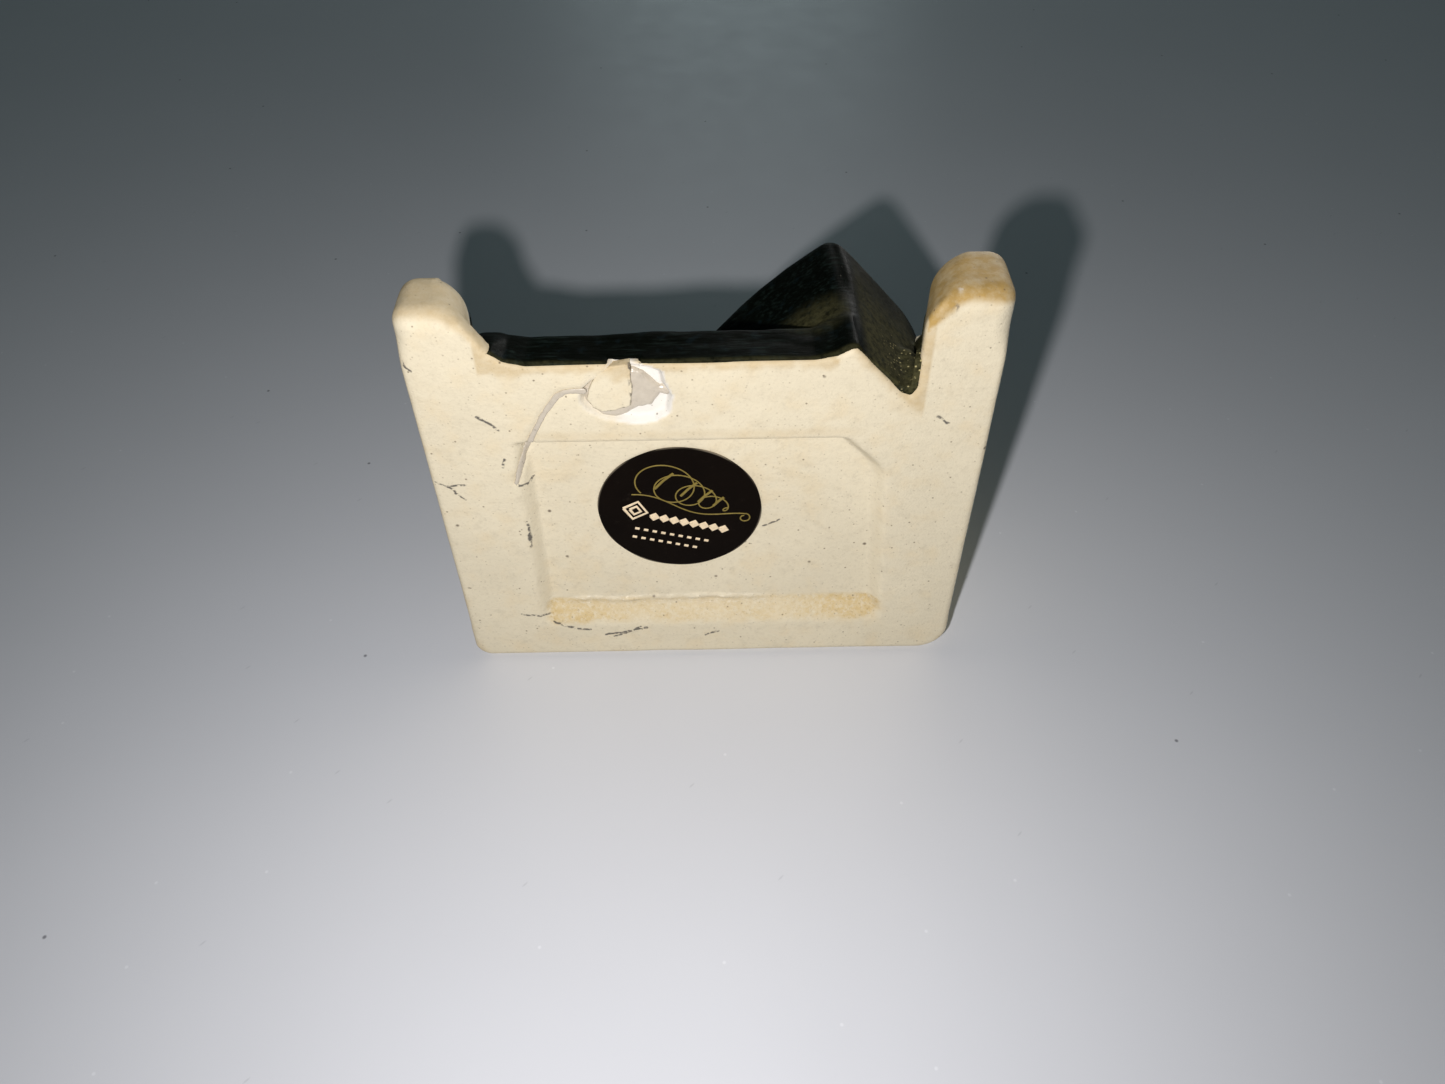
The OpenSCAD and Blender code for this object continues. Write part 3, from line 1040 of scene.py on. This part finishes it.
def cat_body_shape(x, d, z):
    hips = blob(x, d, z, (16, 27.5, 23.6), (13.2, 13.2, 12.6))
    chest = blob(x, d, z, (-11, 28, 23.0), (12.4, 11.6, 12.2))
    belly = limb(x, d, z, (14, 28, 21.5), (-8, 28, 21.5), 10.9, 10.4)
    solid = melt(melt(hips, belly, 4.0), chest, 4.0)
    shoulder = blob(x, d, z, (-12.5, 35, 21.0), (7.6, 6.0, 8.0))
    solid = melt(solid, shoulder, 2.5)
    neck = limb(x, d, z, (-13.5, 28, 28), (-18.6, 26, 36), 8.6, 7.4)
    solid = melt(solid, neck, 3.5)
    haunch = blob(x, d, z, (17.5, 38, 22.6), (12.0, 12.0, 11.0))
    thigh = melt(thigh_shape(x, d, z), haunch, 4.5)
    solid = melt(solid, thigh, 2.6)
    solid = melt(solid, foreleg_shape(x, d, z, (-17.5, 36, 17.2), (-21.6, 49.2, 14.9)), 1.2)
    solid = melt(solid, foreleg_shape(x, d, z, (-7.5, 37, 17.0), (-10.4, 48.9, 14.9)), 1.2)
    solid = melt(solid, tail_shape(x, d, z), 1.3)
    solid = np.minimum(solid, overpaint_shape(x, d, z))
    solid = solid + 0.16 * lumps(x, d, z, 7.0, 11) + 0.05 * lumps(x, d, z, 2.5, 12)
    rear = np.where(x > 26.5, 50.0, 54.3)
    foot = np.where(d < rear, SEAT_Z - 0.5, 0.38) - z
    broken = np.minimum(1.45 - z, -outline_gap(x, d, CRATER) + 0.1)
    return np.maximum(np.maximum(solid, foot), broken)


def ear_shape(x, d, z, side, centre):
    """A pricked ear with a hollow front."""
    base_x = centre[0] + side * 4.9
    foot = (base_x, centre[1] - 0.6, centre[2] + 5.5)
    tip = (base_x + side * 2.3, centre[1] - 0.8, EAR_TIP_Z - 0.9)
    up = (z - foot[2]) / (tip[2] - foot[2])
    run = np.clip(up, 0, 1)
    cx = foot[0] + (tip[0] - foot[0]) * run
    cd = foot[1] + (tip[1] - foot[1]) * run
    wide = 5.3 * (1 - run) ** 0.72 + 0.6
    thick = 3.4 * (1 - run) ** 0.72 + 0.6
    k = np.sqrt(((x - cx) / wide) ** 2 + ((d - cd) / thick) ** 2)
    cone = (k - 1) * np.minimum(wide, thick)
    cone = np.maximum(round_cut(cone, z - tip[2] - 0.6, 0.5), foot[2] - 4 - z)
    across = (x - cx + side * 0.2) / (wide * 0.62)
    depth = (d - cd - thick * 1.05) / (thick * 0.95)
    hollow = np.sqrt(across ** 2 + depth ** 2)
    hollow = (hollow - 1) * np.minimum(wide, thick) * 0.6
    hollow = np.maximum(hollow, z - (foot[2] + (tip[2] - foot[2]) * 0.86))
    return round_cut(cone, -hollow, 0.3)


SKULL = (-19.0, 25.0, 40.0)


def head_shape(x, d, z):
    cx, cd, cz = SKULL
    solid = blob(x, d, z, (cx, cd, cz + 0.3), (10.3, 9.4, 9.3))
    for side in (-1, 1):
        cheek = blob(x, d, z, (cx + side * 5.6, cd + 3.6, cz - 3.6), (5.2, 5.4, 4.6))
        solid = melt(solid, cheek, 2.6)
        brow = blob(x, d, z, (cx + side * 4.2, cd + 6.8, cz + 4.6), (3.4, 2.0, 1.9))
        solid = melt(solid, brow, 2.2)
    bridge = limb(x, d, z, (cx, cd + 6.5, cz + 2.6), (cx, cd + 11.8, cz - 1.6), 2.6, 2.0)
    solid = melt(solid, bridge, 2.2)
    for side in (-1, 1):
        whisker_pad = blob(x, d, z, (cx + side * 2.0, cd + 11.0, cz - 4.0), (2.9, 3.1, 2.5))
        solid = melt(solid, whisker_pad, 0.9)
    chin = blob(x, d, z, (cx, cd + 9.6, cz - 6.6), (2.7, 2.6, 1.9))
    solid = melt(solid, chin, 1.2)
    for side, eye in ((-1, EYE_LEFT), (1, EYE_RIGHT)):
        socket = blob(x, d, z, (eye[0], BACK_Y - eye[1] + 1.0, eye[2]), (2.5, 1.6, 1.9))
        solid = round_cut(solid, -socket, 0.5)
        solid = melt(solid, ear_shape(x, d, z, side, SKULL), 1.5)
    return solid + 0.08 * lumps(x, d, z, 4.5, 21)


# ---------------------------------------------------------------- operators


def stain_and_shade_mask(x, d, z, rough):
    """Tan stain on the arm ends, the inner walls, the front edge and the lower rim, and painted shade
    along the front rim of the recess.
    """
    low = 0.55 * np.minimum(z, 4) + rough * 0.3
    left_end = d - 69.9 + 0.17 * np.maximum(x + 35.5, 0) ** 2 + low
    right_end = d - 71.0 + 0.16 * np.maximum(35 - x, 0) ** 2 + low
    ends = np.where(x < -INNER_X + 1, left_end, np.where(x > INNER_X - 1, right_end, -9))
    stain_and_shade = np.where(x < 0, 0.44, 0.90) * smooth(ends / 1.6) * (z < 26)
    inner_wall = smooth((INNER_X + 0.9 - np.abs(x) + rough * 0.5) / 1.6)
    inner_wall = inner_wall * smooth((z - 0.1) / 1.2)
    stain_and_shade = np.maximum(stain_and_shade, 0.42 * inner_wall * (d > 57) * (z < 20))
    front = (np.abs(x) < INNER_X) & (z < 3)
    reach = np.where(x > 18, 0.716 * x + 0.698 * d - 58.6, d - 60.9)
    stain_and_shade = np.maximum(stain_and_shade, 0.42 * smooth((reach + rough * 0.8) / 1.5) * front)
    # Painted shade: a faint tan line along the front rim of the recess, where shade falls.
    recess_rim_shade = smooth(1 - np.abs(d - 50.4) / 1.3) * smooth((26 - np.abs(x + 2)) / 4) * (z < 1.5)
    stain_and_shade = np.maximum(stain_and_shade, 0.15 * recess_rim_shade)
    corner = smooth((np.abs(x) - 38.6 + rough * 0.5) / 1.6) * smooth((6 - d) / 5)
    stain_and_shade = np.maximum(stain_and_shade, 0.30 * corner * (z < 4))
    rim = np.maximum(np.abs(x) - HALF_W, -d)
    rim = smooth((rim + 1.0 + rough * 0.25) / 1.2) * (z < 2.5)
    return np.maximum(stain_and_shade, 0.28 * rim)


def casting_masks(piece, at):
    """Where the casting is stained or carries painted shade, rusty, glazed, broken or sooty."""
    x, d, z = at.T
    rough = lumps(x, d, z, 2.4, 31) * 0.9 + lumps(x, d, z, 0.9, 32) * 0.5
    paint_mask(piece, "stain_and_shade", stain_and_shade_mask(x, d, z, rough))
    bank = smooth((x + 27.8 + rough) / 2.0) * smooth((29.3 - x + rough) / 2.0)
    band = smooth((d - 7.9 + rough * 0.5) / 1.6) * smooth((13.4 - d + rough * 0.2) / 0.8)
    ends = 0.35 * smooth((np.abs(x - 1) - 14) / 8)
    rust = bank * band * (0.55 + 0.25 * lumps(x, d, 0 * z, 4.0, 33) + ends)
    paint_mask(piece, "rust", rust * (z < 3))
    wet = smooth((1.3 - np.abs(d - 12.6)) / 0.5) * smooth((x + 25) / 3) * smooth((14 - x) / 6)
    paint_mask(piece, "gloss", wet * (z < 3))
    bright = 0.35 + 0.65 * smooth((x + 13.5) / 2.5)
    broken = bright * smooth((0.15 - outline_gap(x, d, CRATER)) / 0.3) * (z < 2.2)
    chipped = np.hypot(x - 33.2, (z - 1.6) * 1.6) - 0.22
    chipped = 0.7 * smooth(1 - chipped / 0.25) * (d > ARM_RIGHT_D - 3.4) * (z < 3)
    paint_mask(piece, "plaster", np.maximum(broken, chipped))
    pit = smooth((0.5 - np.hypot(x - 32.7, d - 71.0)) / 0.3)
    paint_mask(piece, "soot", pit * (z < 1.5))


def plain_masks(piece, at, *names):
    """The named masks, set to 0 all over the piece."""
    for name in names:
        paint_mask(piece, name, 0 * at[:, 0])


class FIGURINE_OT_sofa(Operator):
    """Builds the cream casting: base, arms and back in one, with its recess and broken edge."""

    bl_idname = "figurine.sofa"
    bl_label = "Sofa Casting"

    def execute(self, context):
        step = settings().sofa.mesh_step / MM
        low = (-HALF_W, 0, 0)
        high = (HALF_W, ARM_RIGHT_D, BACK_H)
        piece, at = sculpt("sofa_casting", shell_shape, low, high, step)
        casting_masks(piece, at)
        material = bisque_finish("bisque_casting", scuffed=True)
        finish_piece(piece, material, "bisque", "base", "arm_left", "arm_right", "backrest")
        return {"FINISHED"}


class FIGURINE_OT_cushion(Operator):
    """Builds the seat cushion that the cat lies on."""

    bl_idname = "figurine.cushion"
    bl_label = "Seat Cushion"

    def execute(self, context):
        low = (-INNER_X, BACK_T, DECK_H)
        high = (INNER_X, CUSHION_D, SEAT_Z)
        piece, at = sculpt("seat_cushion_cast", cushion_shape, low, high, 0.45)
        # Painted shade: a tan darkening in the crease just under the cushion's bead, where shade falls.
        crease = np.abs(at[:, 2] - SEAT_Z + 1.9)
        paint_mask(piece, "stain_and_shade", 0.35 * smooth(1 - crease / 0.7))
        plain_masks(piece, at, "rust", "gloss", "plaster", "soot")
        material = bisque_finish("bisque_cushion", scuffed=False)
        finish_piece(piece, material, "cushion_bisque", "seat_cushion")
        return {"FINISHED"}


def cat_masks(piece, at):
    """Dust, crumbs and rubbed flecks, where the paint catches them, and a painted light patch at the
    foot of the ridge.
    """
    x, d, z = at.T
    flank = smooth((0.716 * x + 0.698 * d - 59.2) / 0.8) * smooth((x - 21.2) / 1.8)
    low_dust = flank * (0.35 + 0.55 * smooth((24 - z) / 16))
    crumbs = flank * smooth((x - 24.5) / 2.5) * smooth((15 - z) / 8)
    # Painted light: a lighter olive patch at the foot of the ridge, partly dust and partly painted
    # light.
    lit_ridge_foot = smooth(1.2 - np.hypot((x - 15.5) * 0.8, z - 10.5) / 5.0)
    lit_ridge_foot = lit_ridge_foot * smooth((d - 56) / 2) * (x < 20.5)
    dust_and_light = np.maximum(low_dust, 0.75 * lit_ridge_foot)
    edge = smooth((1.1 - z) / 0.5) * smooth((d - 60) / 1.5) * 0.35
    paint_mask(piece, "dust_and_light", np.maximum(dust_and_light, edge))
    paint_mask(piece, "crumbs", crumbs)
    ridge = smooth(1 - np.abs(x - 20.6 + 0.05 * np.maximum(z - 16, 0) * 1.3) / 1.1)
    ridge = ridge * smooth((z - 14) / 4) * smooth((d - 60) / 2)
    paint_mask(piece, "rub", 0.9 * ridge)


class FIGURINE_OT_cat_body(Operator):
    """Builds the lying cat: torso, legs and tail run together."""

    bl_idname = "figurine.cat_body"
    bl_label = "Cat Body"

    def execute(self, context):
        step = settings().cat.mesh_step / MM
        low = (-INNER_X - 1, 12, 0)
        high = (36, 67.5, 42)
        piece, at = sculpt("cat_body", cat_body_shape, low, high, step)
        cat_masks(piece, at)
        finish_piece(piece, paint_finish(), "cat_paint", "cat_torso", "cat_foreleg_left",
                     "cat_foreleg_right", "cat_hind_leg", "cat_tail")
        return {"FINISHED"}


class FIGURINE_OT_cat_head(Operator):
    """Builds the head with its ears, set on the neck."""

    bl_idname = "figurine.cat_head"
    bl_label = "Cat Head"

    def execute(self, context):
        low = (SKULL[0] - 12, 13, 28)
        high = (SKULL[0] + 12, 42, EAR_TIP_Z)
        piece, at = sculpt("cat_head_cast", head_shape, low, high, 0.3)
        cat_masks(piece, at)
        material = bpy.data.materials["brushed_black_paint"]
        finish_piece(piece, material, "cat_paint", "cat_head", "cat_ear_left", "cat_ear_right")
        return {"FINISHED"}


def dome(name, centre, radii, rows=40, columns=64):
    """A fine ellipsoid in x, d, z millimetres, with its points as angles for masks."""
    points = []
    for i in range(1, rows):
        polar = math.pi * i / rows
        for j in range(columns):
            turn = 2 * math.pi * j / columns
            ring = math.sin(polar)
            points.append((ring * math.cos(turn), math.cos(polar), ring * math.sin(turn)))
    points = [(0, 1, 0)] + points + [(0, -1, 0)]
    faces = [(0, 1 + (j + 1) % columns, 1 + j) for j in range(columns)]
    for i in range(rows - 2):
        for j in range(columns):
            a = 1 + i * columns + j
            b = 1 + i * columns + (j + 1) % columns
            faces.append((a, b, b + columns, a + columns))
    last = len(points) - 1
    start = 1 + (rows - 2) * columns
    faces += [(last, start + j, start + (j + 1) % columns) for j in range(columns)]
    unit = np.array(points, float)
    at = unit * np.array(radii) + np.array(centre)
    return mesh_object(name, at, faces), unit


class FIGURINE_OT_face(Operator):
    """Adds the enamel eyes and nose."""

    bl_idname = "figurine.face"
    bl_label = "Eyes and Nose"

    def execute(self, context):
        green = tuple(settings().cat.eye)
        for side, eye in (("left", EYE_LEFT), ("right", EYE_RIGHT)):
            centre = (eye[0], BACK_Y - eye[1] + 0.1, eye[2])
            piece, unit = dome(f"cat_eye_{side}_enamel", centre, (2.1, 1.5, 1.75))
            across, forward, up = unit.T
            half = 0.16 * np.sqrt(np.maximum(1 - up ** 2, 0)) + 0.02
            slit = smooth(1.6 - np.abs(across) / half)
            paint_mask(piece, "slit", slit * (forward > 0))
            paint_mask(piece, "rim", smooth((np.hypot(across, up) - 0.78) / 0.15))
            material = enamel_finish(f"eye_enamel_{side}", green, slit=True, pale=(0.03, 0.03, 0.02))
            finish_piece(piece, material, "eye_enamel", f"cat_eye_{side}")
        centre = (NOSE[0], BACK_Y - NOSE[1] - 1.0, NOSE[2] - 0.3)
        piece, unit = dome("cat_nose_enamel", centre, (1.35, 1.1, 0.85))
        material = enamel_finish("nose_enamel", (0.16, 0.07, 0.065))
        finish_piece(piece, material, "nose_enamel", "cat_nose")
        return {"FINISHED"}


def fragment_shape(x, d, z):
    flat = outline_gap(x, d, FRAGMENT) + 0.10 * lumps(x, d, z, 1.0, 41)
    tilt = np.maximum(0.03 * (x + 13) + 0.05, 0.03)
    across = np.maximum(tilt - z, z - 1.5)
    return slab(across, flat, 0.18)


def glue_shape(x, d, z):
    flat = outline_gap(x, d, GLUE) + 0.12 * lumps(x, d, z, 0.8, 42)
    sink = 0.55 + 0.20 * lumps(x, d, z * 0, 2.0, 43) - 0.25 * smooth(-flat / 0.5) + 0.25
    across = np.maximum(sink - z, z - 1.6)
    return slab(across, flat, 0.2)


class FIGURINE_OT_repair(Operator):
    """Adds the fragment put back at the front edge, the glue round it and its run."""

    bl_idname = "figurine.repair"
    bl_label = "Glued Chip"

    def execute(self, context):
        low = (-17.6, 52.4, 0)
        high = (-4, 64, 1.8)
        piece, at = sculpt("chip_fragment_cast", fragment_shape, low, high, 0.14)
        x, d, z = at.T
        edge = outline_gap(x, d, FRAGMENT)
        paint_mask(piece, "stain_and_shade", 0.42 * smooth((d - 59.8 + lumps(x, d, z, 1.5, 44)) / 2.0))
        seam = 0.7 * smooth((0.35 - np.abs(edge)) / 0.3) * smooth((56.6 - d) / 1.2)
        crack = 0.9 * smooth((x + 10.5) / 0.4) * (z < 0.5)
        paint_mask(piece, "soot", seam + crack)
        plain_masks(piece, at, "rust", "gloss", "plaster")
        material = bisque_finish("bisque_fragment", scuffed=False)
        finish_piece(piece, material, "bisque", "chip_fragment")
        glue = glue_finish()
        piece, at = sculpt("glue_fill_bead", glue_shape, low, high, 0.16)
        finish_piece(piece, glue, "glue", "glue_fill")
        thread = glue_run("glue_run", THREAD)
        finish_piece(thread, glue, "glue")
        return {"FINISHED"}


def glue_run(name, line):
    """A flat run of glue along a line on the underside."""
    def shape(x, d, z):
        wander = 0.12 * lumps(x, d, z * 0, 1.4, 51)
        gap = stroke_gap(x, d, line) + wander
        lift = underside(x, d) - 0.06
        return np.sqrt((gap / 0.40) ** 2 + ((z - lift) / 0.20) ** 2) * 0.20 - 0.20
    return sculpt(name, shape, (-29.5, 40.5, -0.1), (-15.8, 60, 2.5), 0.14)[0]


def disc(name, centre, radius, low, high, rings=48, columns=144):
    """A thin disc with a slightly uneven cut edge, in x, d, z millimetres."""
    points = []
    for z in (low, high):
        points.append((centre[0], centre[1], z))
        for i in range(1, rings + 1):
            for j in range(columns):
                turn = 2 * math.pi * j / columns
                r = radius * i / rings
                nick = 1 - 0.006 * (i == rings) * (1 + math.sin(7 * turn) * math.cos(3 * turn))
                across = centre[0] + r * nick * math.cos(turn)
                along = centre[1] + r * nick * math.sin(turn)
                points.append((across, along, z))
    side = 1 + rings * columns
    faces = []
    for level, flip in ((0, False), (1, True)):
        start = level * side
        ring = start + 1
        for j in range(columns):
            k = (j + 1) % columns
            tri = (start, ring + k, ring + j)
            faces.append(tri[::-1] if flip else tri)
        for i in range(rings - 1):
            a = ring + i * columns
            for j in range(columns):
                k = (j + 1) % columns
                quad = (a + j, a + k, a + columns + k, a + columns + j)
                faces.append(quad[::-1] if flip else quad)
    outer = 1 + (rings - 1) * columns
    for j in range(columns):
        k = (j + 1) % columns
        faces.append((outer + j, outer + k, side + outer + k, side + outer + j))
    at = np.array(points, float)
    return mesh_object(name, at, faces), at


def ink_line(name, paths, width, z):
    """Printed lines as thin flat ribbons, each path a list of x, d points in millimetres."""
    curve = bpy.data.curves.new(name, "CURVE")
    curve.dimensions = "3D"
    curve.bevel_depth = width / 2 * MM
    curve.bevel_resolution = 2
    for path in paths:
        spline = curve.splines.new("POLY")
        spline.points.add(len(path) - 1)
        for point, (x, d) in zip(spline.points, path):
            point.co = (x * MM, (BACK_Y - d) * MM, z * MM, 1)
    piece = bpy.data.objects.new(name, curve)
    bpy.context.scene.collection.objects.link(piece)
    depsgraph = bpy.context.evaluated_depsgraph_get()
    mesh = bpy.data.meshes.new_from_object(piece.evaluated_get(depsgraph))
    bpy.data.objects.remove(piece)
    flat = bpy.data.objects.new(name, mesh)
    bpy.context.scene.collection.objects.link(flat)
    for v in mesh.vertices:
        v.co.z = z * MM + (v.co.z - z * MM) * 0.25
    mesh.shade_smooth()
    return flat


class FIGURINE_OT_label(Operator):
    """Adds the round paper label with a plain printed ornament."""

    bl_idname = "figurine.label"
    bl_label = "Paper Label"

    def execute(self, context):
        centre = ((LABEL_LOW[0] + LABEL_HIGH[0]) / 2, BACK_Y - (LABEL_LOW[1] + LABEL_HIGH[1]) / 2)
        radius = (LABEL_HIGH[0] - LABEL_LOW[0]) / 2
        piece, at = disc("paper_label_disc", centre, radius, LABEL_LOW[2], LABEL_HIGH[2])
        gap = np.hypot(at[:, 0] - centre[0], at[:, 1] - centre[1])
        piece.data.shade_flat()
        paint_mask(piece, "edge", smooth((gap - radius + 0.12) / 0.12) * 0.5)
        finish_piece(piece, label_finish(), "label_paper", "paper_label")
        own = settings().label
        z = LABEL_LOW[2] - 0.01
        gold = ink_finish("gold_ink", tuple(own.gold), 0.35)
        ivory = ink_finish("ivory_ink", tuple(own.ivory), 0.0)
        for name, paths, width, ink in (
            ("label_flourish", scrolls(centre, radius), 0.24, gold),
            ("label_leaves", leaves(centre, radius), 0.46, gold),
            ("label_border", border(centre, radius), 0.52, ivory),
        ):
            piece = ink_line(name, paths, width, z)
            finish_piece(piece, ink, "label_paper")
        return {"FINISHED"}


def on_label(centre, radius, u, v):
    """A printed point from its place across and up the label, which was stuck on askew."""
    askew = math.radians(15.5)
    x = centre[0] + radius * (u * math.cos(askew) + v * math.sin(askew))
    d = centre[1] + radius * (v * math.cos(askew) - u * math.sin(askew))
    return x, d


def scrolls(centre, radius):
    """A looping pen flourish that dies away in a long curl."""
    path = []
    for i in range(260):
        t = i / 259
        turn = 2 * math.pi * (4.2 * t + 0.1)
        size = 0.27 * (1 - t) ** 0.8 + 0.035
        u = -0.32 + 0.92 * t ** 1.15 - size * 1.1 * math.sin(turn)
        v = 0.40 - 0.24 * t - size * math.cos(turn)
        path.append(on_label(centre, radius, u, v))
    under = []
    for i in range(70):
        t = i / 69
        u = -0.62 + 1.42 * t
        v = 0.06 + 0.07 * math.sin(2.2 * math.pi * t + 0.6)
        under.append(on_label(centre, radius, u, v))
    curl = []
    for i in range(40):
        turn = math.pi * (0.5 - 1.9 * i / 39)
        size = 0.075 * (1 - 0.5 * i / 39)
        u = 0.80 + size * math.cos(turn)
        v = 0.055 + size * math.sin(turn)
        curl.append(on_label(centre, radius, u, v))
    return [path, under, curl]


def leaves(centre, radius):
    """Short leaning leaf strokes among the loops."""
    paths = []
    for u, v, size in ((-0.30, 0.42, 0.16), (0.02, 0.36, 0.14), (0.24, 0.30, 0.12), (0.42, 0.25, 0.09)):
        paths.append([
            on_label(centre, radius, u - size * 0.45, v - size),
            on_label(centre, radius, u, v),
            on_label(centre, radius, u + size * 0.55, v + size * 0.9),
        ])
    return paths


def lozenge(centre, radius, u, v, size):
    """A closed four-sided outline."""
    corners = ((-size, 0), (0, size), (size, 0), (0, -size), (-size, 0))
    return [on_label(centre, radius, u + a, v + b) for a, b in corners]


def border(centre, radius):
    """A medallion and a row of lozenges, over two dotted rules."""
    paths = [lozenge(centre, radius, -0.52, -0.15, size) for size in (0.15, 0.07)]
    for i in range(8):
        paths.append(lozenge(centre, radius, -0.27 + i * 0.125, -0.20, 0.052))
        paths.append(lozenge(centre, radius, -0.27 + i * 0.125, -0.20, 0.02))
    for row, count in ((-0.45, 9), (-0.60, 8)):
        for i in range(count):
            u = -0.46 + i * 0.11
            paths.append([on_label(centre, radius, u, row), on_label(centre, radius, u + 0.055, row)])
    return paths


def area_light(name, place, target, size, power, tint):
    lamp = bpy.data.lights.new(name, "AREA")
    lamp.shape = "DISK"
    lamp.size = size
    lamp.energy = power
    lamp.color = tint
    piece = bpy.data.objects.new(name, lamp)
    piece.location = place
    piece.rotation_euler = (Vector(target) - Vector(place)).to_track_quat("-Z", "Y").to_euler()
    bpy.context.scene.collection.objects.link(piece)
    return piece


def flat_sheet(name, corners, material):
    mesh = bpy.data.meshes.new(name)
    mesh.from_pydata(corners, [], [(0, 1, 2, 3)])
    mesh.materials.append(material)
    piece = bpy.data.objects.new(name, mesh)
    bpy.context.scene.collection.objects.link(piece)
    return piece


class FIGURINE_OT_stage(Operator):
    """Sets the camera, the soft lights and the plain surfaces."""

    bl_idname = "figurine.stage"
    bl_label = "Stage"

    def execute(self, context):
        own = settings().stage
        scene = context.scene
        scene.view_settings.view_transform = "Standard"
        eye = bpy.data.cameras.new("camera")
        eye.lens = own.lens
        eye.sensor_width = 36
        eye.clip_start = 0.01
        camera = bpy.data.objects.new("camera", eye)
        camera.location = [c * MM for c in CAMERA_PLACE]
        camera.rotation_euler = [math.radians(a) for a in CAMERA_TURN]
        scene.collection.objects.link(camera)
        scene.camera = camera
        pale = surface_finish()
        far = SURFACE_REACH
        wall_y = BACK_Y * MM + WALL_GAP * MM
        floor_z = -FLOOR_DROP * MM
        corners = [(-far, wall_y, -far), (far, wall_y, -far), (far, wall_y, far), (-far, wall_y, far)]
        wall = flat_sheet("surface_behind", corners, pale)
        wall.visible_shadow = False
        near_side = [(-far, -far, floor_z), (far, -far, floor_z)]
        far_side = [(far, wall_y, floor_z), (-far, wall_y, floor_z)]
        under = flat_sheet("surface_below", near_side + far_side, pale)
        under.visible_diffuse = False
        under.visible_glossy = False
        under.visible_transmission = False
        under.visible_shadow = False
        world = bpy.data.worlds.new("soft_room")
        world.use_nodes = True
        room = world.node_tree.nodes["Background"]
        room.inputs[0].default_value = (0.70, 0.95, 1.0, 1)
        room.inputs[1].default_value = own.room
        scene.world = world
        area_light("key", KEY_PLACE * MM, KEY_AIM * MM, 6 * MM, own.key_power, (1.0, 0.975, 1.0))
        high = (0.02, -0.10, 0.62)
        area_light("ceiling", high, (0, 0, 0.10), 0.22, own.ceiling_power, (0.80, 0.97, 1.0))
        aim = (0, 0, 0.02)
        place = (0.22, -0.13, 0.50)
        front = area_light("window", place, aim, 0.22, own.top_power, (1.0, 0.98, 0.95))
        place = (0.30, 0.50, 0.35)
        behind = area_light("behind", place, aim, 0.40, own.top_power, (0.95, 0.97, 1.0))
        lit = bpy.data.collections.new("lit_from_above")
        lit.objects.link(under)
        for lamp in (front, behind):
            lamp.light_linking.receiver_collection = lit
        return {"FINISHED"}


class FIGURINE_PT_build(Panel):
    """Lists the pieces in the order they are built."""

    bl_label = "Cat Figurine"
    bl_idname = "FIGURINE_PT_build"
    bl_space_type = "VIEW_3D"
    bl_region_type = "UI"
    bl_category = "Figurine"

    def draw(self, context):
        for operator in OPERATORS:
            self.layout.operator(operator.bl_idname)
        for group in ("sofa", "cat", "label", "stage"):
            own = getattr(context.scene.figurine, group)
            box = self.layout.box()
            box.label(text=group.capitalize())
            for name in own.__annotations__:
                box.prop(own, name)


OPERATORS = (
    FIGURINE_OT_stage,
    FIGURINE_OT_sofa,
    FIGURINE_OT_cushion,
    FIGURINE_OT_cat_body,
    FIGURINE_OT_cat_head,
    FIGURINE_OT_face,
    FIGURINE_OT_repair,
    FIGURINE_OT_label,
)
CLASSES = (
    SofaSettings,
    CatSettings,
    LabelSettings,
    StageSettings,
    FigurineSettings,
) + OPERATORS + (FIGURINE_PT_build,)


def register():
    for item in CLASSES:
        bpy.utils.register_class(item)
    bpy.types.Scene.figurine = PointerProperty(type=FigurineSettings)


def unregister():
    del bpy.types.Scene.figurine
    for item in reversed(CLASSES):
        bpy.utils.unregister_class(item)


def main():
    register()
    bpy.ops.figurine.stage()
    bpy.ops.figurine.sofa()
    bpy.ops.figurine.cushion()
    bpy.ops.figurine.cat_body()
    bpy.ops.figurine.cat_head()
    bpy.ops.figurine.face()
    bpy.ops.figurine.repair()
    bpy.ops.figurine.label()


if __name__ == "__main__":
    main()
